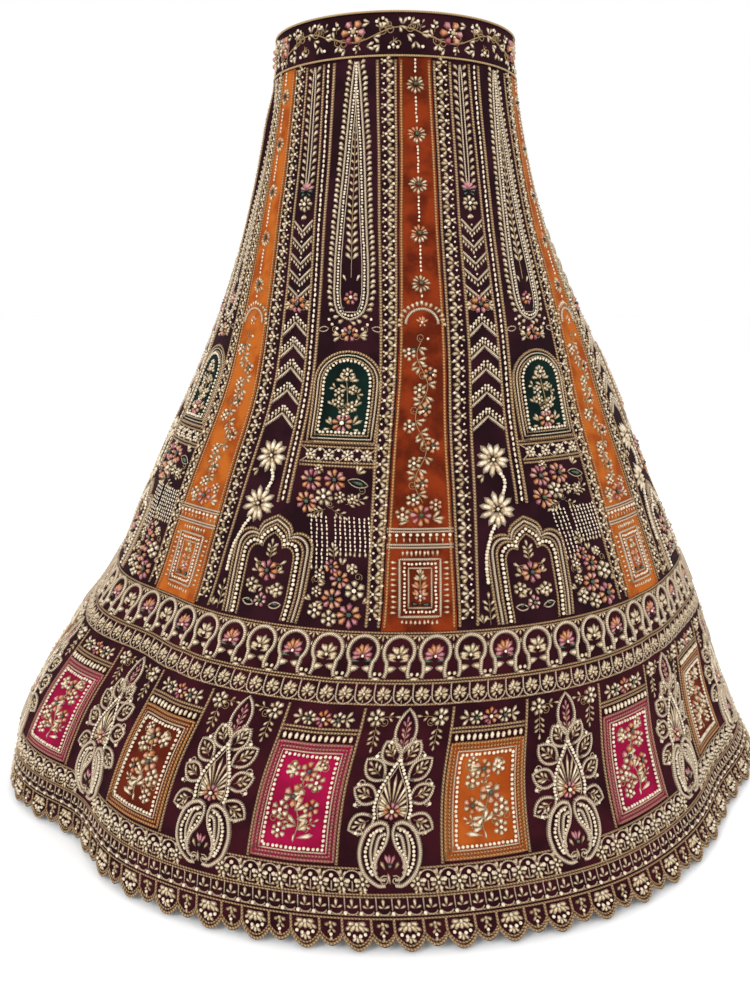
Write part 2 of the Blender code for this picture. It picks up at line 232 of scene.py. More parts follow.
def lifted(u, drop):
    """How far the gathers of the back, the folds and the creases lift the cloth."""
    turn = 2 * math.pi * u / UNITS
    phase = UNITS * GATHERS_A_UNIT * turn + 0.7 * np.sin(3 * turn + 1)
    height = GATHER_HEIGHT * (1 + 0.3 * np.sin(5 * turn))
    length = GATHER_LENGTH * (1 + 0.3 * np.sin(7 * turn + 2))
    behind = ease((np.abs(wrapped(u)) - 1.1) / 0.5)
    total = height * behind * ease(drop / GATHER_RISE) * (1 - ease(drop / length)) * np.sin(phase)
    for centre, half_width, height, starts in FOLDS:
        across = np.exp(-(wrapped(u - centre) / half_width) ** 2)
        total = total + height * across * ease((drop - starts) / (LENGTH - starts)) ** 0.8
    for centre, drift, half_width, height, top, foot in CREASES:
        across = np.exp(-(wrapped(u - centre - drift * drop / LENGTH) / half_width) ** 2)
        along = ease((drop - top) / (0.4 * (foot - top))) * ease((foot - drop) / (0.5 * (foot - top)))
        total = total + height * across * along
    return total


def bare(u, drop):
    """A point of the cloth's outer face."""
    turn = direction(u, drop)
    out = lifted(u, drop)
    x = read(FORM, 3, drop) + (read(FORM, 1, drop) + out) * np.sin(turn)
    y = -(read(FORM, 2, drop) + out) * np.cos(turn)
    return np.stack(np.broadcast_arrays(x, y, WAIST_Z - drop), axis=-1)


def place(u, drop, lift):
    """A point that lies lift metres out from the cloth's outer face."""
    u, drop, lift = np.broadcast_arrays(np.asarray(u, float), drop, lift)
    near_u = 0.004
    near_drop = 0.001
    across = bare(u + near_u, drop) - bare(u - near_u, drop)
    down = bare(u, drop + near_drop) - bare(u, drop - near_drop)
    out = np.cross(down, across)
    out /= np.linalg.norm(out, axis=-1, keepdims=True)
    return bare(u, drop) + lift[..., None] * out


def units_a_metre(u, drop):
    """Units that one metre of cloth spans, measured round the skirt."""
    step = 0.01
    span = np.linalg.norm(bare(u + step, drop) - bare(u - step, drop), axis=-1)
    return 2 * step / span


def velvet(name, deep, lit, sheen, nap_mm=45, pile_mm=1.6):
    """Silk velvet: the woven backing hides under cut pile, which is darkest seen straight on and pale
    at a slant. Its base colour runs between a deep and a lit tone over large patches and fine pile
    flecks, a painted sheen of the crushed pile. The pile is drawn coarser than it is, to show."""
    made, tree, shader = new_material(name, {
        "Roughness": 0.92, "Specular IOR Level": 0.10, "Sheen Weight": sheen, "Sheen Roughness": 0.42,
        "Sheen Tint": linear(lit)})
    place_on = add_node(tree, "TexCoord").outputs["Object"]
    nap = add_node(tree, "TexNoise", {"Vector": place_on, "Scale": 1000 / nap_mm, "Detail": 3.0})
    pile = add_node(tree, "TexNoise", {"Vector": place_on, "Scale": 1000 / pile_mm, "Detail": 2.0})
    # Patches of the nap, with the pile's flecks, move the base colour from the deep to the lit tone: painted
    # sheen of the crushed pile
    sheen_patches = add_node(tree, "MapRange", {"Value": nap.outputs["Fac"], "From Min": 0.40, "From Max": 0.60})
    tufts = add_node(tree, "Math", {0: pile.outputs["Fac"], 1: 0.40}, operation="MULTIPLY")
    both = add_node(tree, "Math", {0: sheen_patches.outputs["Result"], 1: 0.60, 2: tufts.outputs["Value"]},
                    operation="MULTIPLY_ADD")
    colour = add_node(tree, "Mix", {0: both.outputs["Value"], 6: linear(deep), 7: linear(lit)},
                      data_type="RGBA")
    bump = add_node(tree, "Bump", {"Height": pile.outputs["Fac"], "Strength": 0.55, "Distance": 0.0006})
    tree.links.new(colour.outputs[2], shader.inputs["Base Color"])
    tree.links.new(bump.outputs["Normal"], shader.inputs["Normal"])
    return made


def cloth(name, u, drop, lift, thick, finish, hidden_node):
    """A shell of cloth on grids of u, drop and lift, rows from the lowest edge up, with its wall."""
    rows, columns = u.shape
    bpy.ops.object.select_all(action="DESELECT")
    bpy.ops.mesh.primitive_grid_add(x_subdivisions=columns - 1, y_subdivisions=rows - 1, size=1)
    piece = bpy.context.object
    piece.name = name
    piece.data.vertices.foreach_set("co", place(u, drop, lift).reshape(-1))
    piece.modifiers.new("wall", "SOLIDIFY").thickness = thick
    piece.modifiers["wall"].offset = -1
    bpy.ops.object.modifier_apply(modifier="wall")
    bpy.ops.object.shade_smooth_by_angle(angle=math.radians(50))
    piece.data.materials.append(finish)
    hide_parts(hidden_node)
    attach(piece, "root")
    return piece


def levels_up(top, foot, rows, u_of, columns):
    """Grids of u and drop between two levels, rows from the foot up, keeping half a seam's gap clear."""
    drop = np.linspace(foot - SEAM_GAP / 2, top + SEAM_GAP / 2, rows)
    left, right = u_of(drop)
    left = left + SEAM_GAP / 2 * units_a_metre(left, drop)
    right = right - SEAM_GAP / 2 * units_a_metre(right, drop)
    share = np.linspace(0, 1, columns)
    u = left[:, None] * (1 - share) + right[:, None] * share
    return u, np.repeat(drop[:, None], columns, axis=1)


# Each velvet: its deep tone, its lit tone (painted sheen in the base colour, and the sheen tint) and its
# sheen weight
maroon_velvet = velvet("aubergine_silk_velvet", "#14040a", "#2e0e17", 0.03)
kali_velvets = {
    "rust": velvet("rust_silk_velvet", "#3e0e03", "#85300e", 0.06, 30),
    "orange": velvet("orange_silk_velvet", "#83340b", "#b3611f", 0.06, 30),
}
for unit in range(-3, 5):
    colour = "rust" if unit % 2 == 0 else "orange"
    u, drop = levels_up(0, PANELS_END, KALI_ROWS, lambda d: (unit - half_kali(d), unit + half_kali(d)), 10)
    number = unit % UNITS + 1
    cloth(f"{colour}_panel_{number}", u, drop, 0.0, CLOTH_WALL, kali_velvets[colour],
          f"{colour}_kali_{number}")
for unit in EVERY_UNIT:
    u, drop = levels_up(0, PANELS_END, KALI_ROWS,
                        lambda d: (unit + half_kali(d), unit + 1 - half_kali(d)), 34)
    number = unit % UNITS + 1
    cloth(f"maroon_panel_{number}", u, drop, 0.0, CLOTH_WALL, maroon_velvet,
          f"maroon_kali_{number}")

# Arched windows
# Each maroon kali has an arch-topped piece of bottle-green velvet laid on it and sewn round its edge.
# Its worked frame covers the raw edge.
SKIN_LIFT = 0.0003
SKIN_WALL = 0.0012
WINDOW_CENTRE = 0.684
WINDOW_HALF = 0.155
WINDOW_SPRING = 0.372
WINDOW_RISE = 0.028
WINDOW_FOOT = 0.437
green_velvet = velvet("bottle_green_silk_velvet", "#020b09", "#0a211b", 0.03)
for unit in EVERY_UNIT:
    share = np.linspace(-1, 1, 17)
    top = WINDOW_SPRING - WINDOW_RISE * np.sqrt(1 - share ** 2)
    drop = WINDOW_FOOT + (top - WINDOW_FOOT) * np.linspace(0, 1, 14)[:, None]
    half = half_kali(drop)
    u = unit + half + (1 - 2 * half) * (WINDOW_CENTRE + WINDOW_HALF * share)
    number = unit % UNITS + 1
    cloth(f"window_velvet_{number}", u, drop, SKIN_LIFT + SKIN_WALL, SKIN_WALL, green_velvet,
          f"green_window_{number}")

# Arch border and lower border
# Two shaped bands of wine velvet, each in two halves with seams at the centre front and back, join
# all the kalis. Sixteen padded fans are raised in the deep one.
FAN_PITCH = 0.5
HALVES = (("left", -4.0), ("right", 0.0))
# Levels down a fan: drop, half its width, its height out
FAN = np.array([
    (0.7140, 0.000, 0.0000),
    (0.7410, 0.034, 0.0026),
    (0.7950, 0.046, 0.0030),
    (0.8480, 0.040, 0.0030),
    (0.8720, 0.000, 0.0000),
])


def fan_height(u, drop):
    """How far a padded fan lifts the border's face; fans stand at every half unit."""
    across = np.abs((u + FAN_PITCH / 2) % FAN_PITCH - FAN_PITCH / 2) / units_a_metre(u, drop)
    half_width = np.interp(drop, FAN[:, 0], FAN[:, 1])
    height = np.interp(drop, FAN[:, 0], FAN[:, 2])
    flat = 0.55
    return height * (1 - ease((across / np.maximum(half_width, 1e-6) - flat) / (1 - flat)))


def half_round(start):
    """Both edges of half the skirt, from the centre back or front, at any drop."""
    return lambda drop: (start + 0 * drop, start + UNITS / 2 + 0 * drop)


wine_velvet = velvet("wine_silk_velvet", "#1a040a", "#380d16", 0.03)
for side, start in HALVES:
    u, drop = levels_up(PANELS_END, ARCHES_END, 9, half_round(start), 161)
    cloth(f"arch_band_{side}", u, drop, 0.0, CLOTH_WALL, wine_velvet, f"arch_border_{side}")
    u, drop = levels_up(ARCHES_END, BORDER_END, 27, half_round(start), 241)
    cloth(f"deep_band_{side}", u, drop, fan_height(u, drop), CLOTH_WALL, wine_velvet,
          f"lower_border_{side}")

# Scalloped hem
# The lowest band of wine velvet hangs from the lower border in two halves. It is cut in 128 scallops,
# a wide one and a narrow one in turn, and faced behind them.
SCALLOP_PAIR = 0.125
SCALLOP_WIDE = 0.56
SCALLOP_NOTCH = 0.9165
SCALLOP_LOW = (0.9300, 0.9260)
SCALLOP_STEPS = 10


def hem_edge(u):
    """Drop of the scalloped edge."""
    along = u % SCALLOP_PAIR / SCALLOP_PAIR
    wide = along < SCALLOP_WIDE
    share = np.where(wide, along / SCALLOP_WIDE, (along - SCALLOP_WIDE) / (1 - SCALLOP_WIDE))
    low = np.where(wide, *SCALLOP_LOW)
    return SCALLOP_NOTCH + (low - SCALLOP_NOTCH) * np.sin(math.pi * np.clip(share, 0, 1)) ** 0.7


for side, start in HALVES:
    columns = round(UNITS / SCALLOP_PAIR) * SCALLOP_STEPS + 1
    u, _ = levels_up(BORDER_END, SCALLOP_NOTCH, 5, half_round(start), columns)
    top = BORDER_END + SEAM_GAP / 2
    drop = hem_edge(u) + (top - hem_edge(u)) * np.linspace(0, 1, 5)[:, None]
    cloth(f"scallop_band_{side}", u, drop, 0.0, CLOTH_WALL, wine_velvet, f"scalloped_hem_{side}")

# Square patches
# Sixteen pieces of velvet are laid on the lower border between the fans: crimson, orange, crimson and
# rust in turn. Chain stitch and a row of pearls hold their edges.
PATCH_TOP = 0.741
PATCH_FOOT = 0.848
PATCH_HALF = 0.110
patch_velvets = {
    "crimson": velvet("crimson_silk_velvet", "#70052a", "#a00d40", 0.08),
    "orange": velvet("patch_orange_silk_velvet", "#87350a", "#ab551d", 0.06),
    "rust": velvet("patch_rust_silk_velvet", "#441106", "#6c260e", 0.06),
}
for i in range(2 * UNITS):
    colour = ("orange", "crimson", "rust", "crimson")[i % 4]
    centre = FAN_PITCH * i - UNITS / 2 + FAN_PITCH / 2
    u = np.repeat(centre + np.linspace(-PATCH_HALF, PATCH_HALF, 13)[None, :], 13, axis=0)
    drop = np.repeat(np.linspace(PATCH_FOOT, PATCH_TOP, 13)[:, None], 13, axis=1)
    side = "left" if centre < 0 else "right"
    cloth(f"{colour}_square_{i + 1}", u, drop, SKIN_LIFT + SKIN_WALL, SKIN_WALL, patch_velvets[colour],
          f"{colour}_patch_{i + 1}")

# Waistband
# A bias-cut strip of the aubergine velvet, 51 mm deep and folded double, holds the tops of the kalis.
# Its ends meet at the back opening, beside the colour kali there.
BAND_WALL = 0.0024
OPENING = 4 - SPREAD[1, 3]
drop = np.linspace(-SEAM_GAP / 2, -BAND, 7)
u = np.linspace(OPENING, OPENING + UNITS, 241)
u = np.repeat(u[None, :], 7, axis=0)
u[:, 0] += SEAM_GAP / 2 * units_a_metre(u[:, 0], 0.0)
u[:, -1] -= SEAM_GAP / 2 * units_a_metre(u[:, -1], 0.0)
cloth("waistband_velvet", u, np.repeat(drop[:, None], 241, axis=1), 0.0, BAND_WALL, maroon_velvet,
      "waistband")

# Needlework on the colour kalis
# Cut metal tube beads, metal thread, pearls and silk-wrapped petals are sewn through the velvet by
# hand. Each shape is modelled once, laid in a flat drawing in millimetres, x to the right and y up,
# and the drawing is then sewn on the cloth at each place where it repeats.
SLOPE = 0.92
SUNK = -0.15
LONGEST_RUN = 9.0
ROSE = ("rose",)
SILVER = ("silver_leaf",)
ROSE_AND_SILVER = ("rose", "silver_leaf")
TWO_ROSE_ONE_SILVER = ("rose", "rose", "silver_leaf")


def taken(stitch):
    """The points and triangles of a modelled shape, which itself is removed."""
    points = np.zeros(len(stitch.data.vertices) * 3)
    stitch.data.vertices.foreach_get("co", points)
    corners = np.zeros(len(stitch.data.polygons) * 3, int)
    stitch.data.polygons.foreach_get("vertices", corners)
    bpy.data.objects.remove(stitch, do_unlink=True)
    return points.reshape(-1, 3), corners.reshape(-1, 3)


def padded_stitch(tip, root_width):
    """A padded stitch from a six-sided cone, as (points, triangles): root at x = 0, tip at x = 1."""
    bpy.ops.object.select_all(action="DESELECT")
    bpy.ops.mesh.primitive_cone_add(vertices=6, radius1=0.5, radius2=0, depth=1.0,
                                    location=(0, 0, 0.5), rotation=(0, 0, -math.pi / 2))
    bpy.ops.object.transform_apply(location=True, rotation=True, scale=True)
    stitch = bpy.context.object
    for point in stitch.data.vertices:
        point.select = point.co.x < -0.05
    for part in list(stitch.data.edges) + list(stitch.data.polygons):
        part.select = False
    bpy.ops.object.mode_set(mode="EDIT")
    bpy.context.tool_settings.mesh_select_mode = (True, False, False)
    bpy.ops.transform.resize(value=(1, root_width, 1), center_override=(0, 0, 0))
    bpy.ops.mesh.select_all(action="DESELECT")
    bpy.ops.object.mode_set(mode="OBJECT")
    for point in stitch.data.vertices:
        point.select = point.co.z > 0.9
    bpy.ops.object.mode_set(mode="EDIT")
    bpy.ops.transform.translate(value=(tip, 0, 0))
    bpy.ops.mesh.select_all(action="SELECT")
    bpy.ops.transform.translate(value=(0.5, 0, 0))
    bpy.ops.mesh.quads_convert_to_tris()
    bpy.ops.object.mode_set(mode="OBJECT")
    return taken(stitch)


def round_bead():
    """A round bead, flattened a little where it sits on the cloth."""
    bpy.ops.object.select_all(action="DESELECT")
    bpy.ops.mesh.primitive_ico_sphere_add(subdivisions=1, radius=0.5, location=(0, 0, 0))
    bpy.ops.object.mode_set(mode="EDIT")
    bpy.ops.transform.resize(value=(1, 1, 0.9), center_override=(0, 0, 0))
    bpy.ops.transform.translate(value=(0, 0, 0.38))
    bpy.ops.object.mode_set(mode="OBJECT")
    return taken(bpy.context.object)


STITCHES = {"petal": padded_stitch(0.10, 0.60), "leaf": padded_stitch(0.0, 1.0), "bead": round_bead()}
uneven = np.random.default_rng(5)


def down(drop):
    """How far a level lies below the waist seam along the cloth, as a drawing's y in millimetres."""
    return -1000 * drop / SLOPE


def turned(x, y, turn, along, side=0.0):
    """The place that lies along and to the left of a direction in degrees from (x, y)."""
    c, s = math.cos(math.radians(turn)), math.sin(math.radians(turn))
    return x + c * along - s * side, y + s * along + c * side


def lay(work, x, y, turn, length, width, height, tone=0.5, thread="silver_leaf", stitch="petal"):
    """Lays one stitch in a drawing, a little uneven as by hand; turn is in degrees from +x."""
    points, triangles = STITCHES[stitch]
    sway, grow, shade, drift_x, drift_y = uneven.normal(size=5)
    turn, length, tone = turn + 3.5 * sway, length * (1 + 0.05 * grow), tone + 0.09 * shade
    flat = turned(x + 0.25 * drift_x, y + 0.25 * drift_y, turn, points[:, 0] * length, points[:, 1] * width)
    laid = np.stack([*flat, points[:, 2] * height + SUNK], axis=1)
    trace = np.stack([points[:, 0] * length, points[:, 1] * 2], axis=1)
    work.setdefault(thread, []).append((laid, triangles, trace, np.full(len(laid), tone)))


def bead(work, x, y, radius, thread="pearl", tone=0.5, stretch=1.0, turn=0):
    lay(work, x, y, turn, 2 * radius * stretch, 2 * radius, 2 * radius, tone, thread, "bead")


def profile(left, top, right, along, closed):
    """Triangles and trace of a cord's three running edges: its left foot, its ridge and its right foot."""
    count = len(along)
    here = np.arange(count if closed else count - 1)
    there = (here + 1) % count
    quads = []
    for a, b in ((0, 1), (1, 2), (2, 0)):
        quads.append(np.stack([3 * here + a, 3 * here + b, 3 * there + b], axis=1))
        quads.append(np.stack([3 * here + a, 3 * there + b, 3 * there + a], axis=1))
    if not closed:
        last = 3 * (count - 1)
        quads.append(np.array([[0, 2, 1], [last, last + 1, last + 2]]))
    points = np.stack([left, top, right], axis=1).reshape(-1, left.shape[-1])
    trace = np.stack([np.repeat(along, 3), np.tile([-1.0, 0.0, 1.0], count)], axis=1)
    return points, np.concatenate(quads), trace


def lengths_along(path):
    """The distance along a path at each of its points."""
    return np.append(0, np.cumsum(np.linalg.norm(np.diff(path, axis=0), axis=1)))


def sideways(path, closed):
    """Unit vectors to the left of a flat path, and the distance along it."""
    if closed:
        ahead = np.roll(path, -1, axis=0) - np.roll(path, 1, axis=0)
    else:
        ahead = np.gradient(path, axis=0)
    ahead = ahead / np.maximum(np.linalg.norm(ahead, axis=1, keepdims=True), 1e-9)
    return np.stack([-ahead[:, 1], ahead[:, 0]], axis=1), lengths_along(path)


def fine(path, closed):
    """The path with points added on its long runs, so that it follows the cloth."""
    ends = np.vstack([path[1:], path[:1]]) if closed else path[1:]
    runs = []
    for a, b in zip(path, ends):
        steps = max(math.ceil(np.linalg.norm(b - a) / LONGEST_RUN), 1)
        runs.append(a + (b - a) * (np.arange(steps) / steps)[:, None])
    return np.vstack(runs if closed else runs + [path[-1:]])


def cord(work, thread, path, width, closed=False, tone=0.5, height=None):
    """Couches a cord along a path of (x, y) points in a drawing."""
    path = fine(np.array(path, float), closed)
    left, along = sideways(path, closed)
    height = 0.62 * width if height is None else height
    foot = np.full((len(path), 1), SUNK)
    ridge = np.full((len(path), 1), height)
    points, triangles, trace = profile(np.hstack([path + left * width / 2, foot]), np.hstack([path, ridge]),
                                       np.hstack([path - left * width / 2, foot]), along, closed)
    work.setdefault(thread, []).append((points, triangles, trace, np.full(len(points), tone)))


def smooth(points, steps=5):
    """A smooth path through a few points."""
    p = np.array(points, float)
    p = np.vstack([2 * p[0] - p[1], p, 2 * p[-1] - p[-2]])
    t = np.linspace(0, 1, steps, endpoint=False)[:, None]
    runs = []
    for a, b, c, d in zip(p, p[1:], p[2:], p[3:]):
        runs.append(0.5 * (2 * b + (c - a) * t + (2 * a - 5 * b + 4 * c - d) * t ** 2
                           + (3 * b - a - 3 * c + d) * t ** 3))
    return np.vstack(runs + [p[-2:-1]])


def arc(x, y, radius, start, end, points=9, squash=1.0):
    """Points of an arc, angles in degrees."""
    turn = np.radians(np.linspace(start, end, points))
    return np.stack([x + radius * np.cos(turn), y + radius * squash * np.sin(turn)], axis=1)


def shut(path):
    """A path that ends where it starts."""
    return np.vstack([path, path[:1]])


def evenly(path, pitch):
    """Places every pitch millimetres along a path, as (x, y, direction in degrees)."""
    path = np.array(path, float)
    along = lengths_along(path)
    count = max(int(along[-1] / pitch), 1)
    at = (np.arange(count) + 0.5) * along[-1] / count
    x = np.interp(at, along, path[:, 0])
    y = np.interp(at, along, path[:, 1])
    row = np.clip(np.searchsorted(along, at) - 1, 0, len(path) - 2)
    ahead = path[row + 1] - path[row]
    return list(zip(x, y, np.degrees(np.arctan2(ahead[:, 1], ahead[:, 0]))))


def string(work, path, pitch, radius, stretch=1.0):
    """A row of pearls along a path."""
    for x, y, turn in evenly(path, pitch):
        bead(work, x, y, radius, stretch=stretch, turn=turn)


def flower(work, x, y, radius, petals, tones=(0.5,), threads=SILVER, centre="pearl", start=90, width=1.22):
    """A round flower of padded petals with a bead at its centre."""
    root = 0.2 * radius
    wide = width * 2 * math.pi * 0.62 * radius / petals
    for k in range(petals):
        turn = start + 360 * k / petals
        lay(work, *turned(x, y, turn, root), turn, radius - root, wide, 0.42 * wide + 0.5,
            tones[k % len(tones)], threads[k % len(threads)])
    bead(work, x, y, 0.2 * radius + 0.4, centre)


def spray(work, x, y, turns, length, width, tone=0.5, thread="silver_leaf"):
    """Leaves that spread from one point."""
    for turn in turns:
        lay(work, x, y, turn, length, width, 0.45 * width, tone, thread)


def sprig(work, x, y, turn, length, pairs, leaf, tone=0.5, thread="silver_leaf", spread=48):
    """A straight stem with pairs of leaves and one at its end."""
    end = turned(x, y, turn, length)
    cord(work, "gold_cord", [(x, y), turned(x, y, turn, length / 2), end], 0.9)
    for k in range(pairs):
        at = turned(x, y, turn, length * (k + 0.6) / (pairs + 0.3))
        for side in (-1, 1):
            lay(work, *at, turn + side * spread, leaf, 0.48 * leaf, 0.22 * leaf, tone, thread)
    lay(work, *end, turn, leaf, 0.5 * leaf, 0.22 * leaf, tone, thread)


def curl(work, x, y, turn, radius, hand=1, width=1.1, thread="gold_cord"):
    """A cord that leaves (x, y) in a direction and rolls up, anticlockwise for hand 1."""
    t = np.linspace(0, 1, 13)
    side = math.radians(turn + 90 * hand)
    x, y = x + radius * math.cos(side), y + radius * math.sin(side)
    angle = side + math.pi + hand * np.radians(460) * t
    r = radius * (1 - 0.68 * t)
    cord(work, thread, np.stack([x + r * np.cos(angle), y + r * np.sin(angle)], axis=1), width)


def outlined(work, x, y, turn, length, width, thick):
    """A leaf outline in cord that comes to a point at its root and its tip."""
    t = np.linspace(0, 1, 9)
    half = width / 2 * np.sin(math.pi * t) ** 0.8
    along = np.concatenate([t, t[-2:0:-1]]) * length
    side = np.concatenate([half, -half[-2:0:-1]])
    cord(work, "silver_cord", np.stack(turned(x, y, turn, along, side), axis=1), thick, closed=True)


def draw(work, x, y, rows):
    """Makes the stitches of a table from (x, y); its rows are (function, right, up, and so on)."""
    for make, right, up, *rest in rows:
        make(work, x + right, y + up, *rest)


def draw_pair(work, x, y, rows):
    """Makes the stitches of a table to the left of (x, y) and then mirrored to its right; its rows are
    (function, out, up, lean, and so on), with each lean in degrees from upright to the outside."""
    for side in (-1, 1):
        for make, out, up, lean, *rest in rows:
            turn = [90 - side * a for a in lean] if isinstance(lean, tuple) else 90 - side * lean
            if make is curl:
                rest[1] *= side
            make(work, x + side * out, y + up, turn, *rest)


def joined(shapes):
    """Several shapes as one, as (points, triangles, trace, tone)."""
    starts = np.cumsum([0] + [len(shape[0]) for shape in shapes[:-1]])
    points, triangles, trace, tone = zip(*shapes)
    triangles = [corners + start for corners, start in zip(triangles, starts)]
    return tuple(np.concatenate(part) for part in (points, triangles, trace, tone))


CUT_DROPS = np.linspace(-BAND, LENGTH, 60)
CUT_WIDTHS = 1 / units_a_metre(0.25, CUT_DROPS)


def unit_width(drop):
    """Metres of cloth that a unit spans at a drop, as the pieces are cut."""
    return np.interp(drop, CUT_DROPS, CUT_WIDTHS)


def on_centre(drop):
    return 0 * drop


def sew(region, work, places, line=on_centre, base=0.0, padded=False):
    """Sews a drawing on the cloth at each of the places, which are units round the skirt. Its x is
    measured from a line that runs down the cloth, and its y from the waist seam."""
    places = np.array(places, float)[:, None]
    for thread, shapes in work.items():
        points, triangles, trace, tone = joined(shapes)
        drop = -points[:, 1] * SLOPE / 1000
        u = places + line(drop) + points[:, 0] / 1000 / unit_width(drop)
        drop = np.broadcast_to(drop, u.shape)
        lift = points[:, 2] / 1000 + base + (fan_height(u, drop) if padded else 0.0)
        count = len(places)
        corners = triangles[None] + len(points) * np.arange(count)[:, None, None]
        region.setdefault(thread, []).append((place(u, drop, lift).reshape(-1, 3), corners.reshape(-1, 3),
                                              np.tile(trace, (count, 1)), np.tile(tone, count)))


def couch(region, thread, u, drop, width, height, closed=False, padded=False, tone=0.5):
    """Couches a long cord or chain over the cloth through places given as units and drops."""
    wide = unit_width(drop) * 1000
    path = np.stack([u * wide.mean(), down(drop)], axis=1)
    left, along = sideways(path, closed)
    edges = []
    for side, lift in ((1, SUNK), (0, height), (-1, SUNK)):
        edge_u = u + side * left[:, 0] * width / 2 / wide
        edge_drop = drop - side * left[:, 1] * width / 2 * SLOPE / 1000
        raised = fan_height(edge_u, edge_drop) if padded else 0.0
        edges.append(place(edge_u, edge_drop, lift / 1000 + raised))
    points, triangles, trace = profile(*edges, along, closed)
    region.setdefault(thread, []).append((points, triangles, trace, np.full(len(points), tone)))


def metal_thread(name, pale, dark, ply_mm, chain):
    """Metal thread wound on a core: a twisted cord, or chain stitch whose links lie as a herringbone.
    The plies are drawn coarser than they are, to show. Colour runs from the pale colour on the ridges
    of the plies or links to the dark colour in the grooves between them, a painted shade, moved by each
    piece's tone."""
    made, tree, shader = new_material(name, {"Metallic": 0.55, "Roughness": 0.42})
    trace = add_node(tree, "UVMap", uv_map="trace")
    parts = add_node(tree, "SeparateXYZ", {"Vector": trace.outputs["UV"]})
    side = add_node(tree, "Math", {0: parts.outputs["Y"]}, operation="ABSOLUTE") if chain else None
    across = side.outputs["Value"] if chain else parts.outputs["Y"]
    leaning = add_node(tree, "Math", {0: across, 1: 0.5}, operation="MULTIPLY")
    ahead = add_node(tree, "Math", {0: parts.outputs["X"], 1: 1 / ply_mm, 2: leaning.outputs["Value"]},
                     operation="MULTIPLY_ADD")
    wave = add_node(tree, "Math", {0: ahead.outputs["Value"], 1: 0.5}, operation="PINGPONG")
    ply = add_node(tree, "MapRange", {"Value": wave.outputs["Value"], "From Min": 0.10, "From Max": 0.30})
    tone = add_node(tree, "Attribute", attribute_name="tone")
    # The grooves between plies or links take the dark colour and their ridges the pale one: painted groove
    # shade, added to each piece's tone
    groove_shade_and_tone = add_node(tree, "Math", {0: ply.outputs["Result"], 1: 0.75, 2: tone.outputs["Fac"]},
                    operation="MULTIPLY_ADD")
    share = add_node(tree, "Math", {0: groove_shade_and_tone.outputs["Value"], 1: -0.2}, operation="ADD", use_clamp=True)
    colour = add_node(tree, "Mix", {0: share.outputs["Value"], 6: linear(dark), 7: linear(pale)},
                      data_type="RGBA")
    bump = add_node(tree, "Bump", {"Height": ply.outputs["Result"], "Strength": 0.9, "Distance": 0.0006})
    tree.links.new(colour.outputs[2], shader.inputs["Base Color"])
    tree.links.new(bump.outputs["Normal"], shader.inputs["Normal"])
    return made


def bead_work(name, colours, metallic, roughness, coat, rays=False):
    """Beads, cut tubes or wrapped petals: colour runs between stops with the tone of each, and fine noise
    flecks move it along the stops. For the silver petals and the pearls the stops run from a painted
    shade to a painted highlight, so their flecks are painted glints; for the silk petals the stops are
    their own hues. Fine rays of bump break up the light."""
    made, tree, shader = new_material(name, {"Metallic": metallic, "Roughness": roughness,
                                             "Coat Weight": coat})
    tone = add_node(tree, "Attribute", attribute_name="tone")
    place_on = add_node(tree, "TexCoord").outputs["Object"]
    # Noise flecks move the colour along the stops: painted glints and painted shade on the silver petals and
    # pearls, hues of their own on the silk petals
    glint_and_hue_flecks = add_node(tree, "TexNoise", {"Vector": place_on, "Scale": 420.0, "Detail": 1.0})
    mixed = add_node(tree, "Math", {0: glint_and_hue_flecks.outputs["Fac"], 1: 0.7, 2: tone.outputs["Fac"]},
                     operation="MULTIPLY_ADD")
    centred = add_node(tree, "Math", {0: mixed.outputs["Value"], 1: -0.35}, operation="ADD")
    ramp = add_node(tree, "ValToRGB", {"Fac": centred.outputs["Value"]})
    stops = ramp.color_ramp.elements
    stops.remove(stops[1])
    for k, colour in enumerate(colours):
        stop = stops[0] if k == 0 else stops.new(k / (len(colours) - 1))
        stop.color = linear(colour)
    tree.links.new(ramp.outputs["Color"], shader.inputs["Base Color"])
    if rays:
        trace = add_node(tree, "UVMap", uv_map="trace")
        wires = add_node(tree, "TexWave", {"Vector": trace.outputs["UV"], "Scale": 1.2}, bands_direction="Y")
        bump = add_node(tree, "Bump", {"Height": wires.outputs["Fac"], "Strength": 0.35, "Distance": 0.0003})
        tree.links.new(bump.outputs["Normal"], shader.inputs["Normal"])
    return made


# What each thread is called in a drawing: its material and its slot in the record
CHAIN_LINK_MM = 3.6
# Each metal thread's second colour is the painted shade in the grooves between its plies or links
THREADS = {
    "gold_chain": (metal_thread("chain_of_gold_thread", "#b08f68", "#1e110c", CHAIN_LINK_MM, True),
                   "gold_cord"),
    "peach_chain": (metal_thread("chain_of_peach_gold_thread", "#b8804c", "#48200c", CHAIN_LINK_MM, True),
                    "gold_cord"),
    "rose_chain": (metal_thread("chain_of_rose_gold_thread", "#a8685e", "#44141e", CHAIN_LINK_MM, True),
                   "gold_cord"),
    "gold_cord": (metal_thread("twisted_gold_cord", "#bd9f72", "#553c20", 1.8, False), "gold_cord"),
    "silver_cord": (metal_thread("twisted_silver_gold_cord", "#d8c4a8", "#6a5242", 2.2, False),
                    "silver_gold"),
    # The silver petals' and the pearls' stops run from a painted shade through their colour to a painted
    # highlight
    "silver_leaf": (bead_work("silver_cut_tube_petals", ("#75603f", "#bfa783", "#ecdcc0"), 0.40, 0.36, 0.2,
                              True), "silver_gold"),
    "pearl": (bead_work("small_pearls", ("#a08c70", "#dccbb0", "#faf0dc"), 0.0, 0.22, 0.6), "pearl"),
    "rose": (bead_work("wrapped_silk_petals", ("#8c3f4c", "#c08488", "#cc9a78", "#b8703c"), 0.15, 0.40, 0.3,
                       True), "rose_thread"),
    "green": (bead_work("dark_green_stones", ("#0a1c15", "#1f3b2c", "#587048"), 0.1, 0.25, 0.5), "pearl"),
}


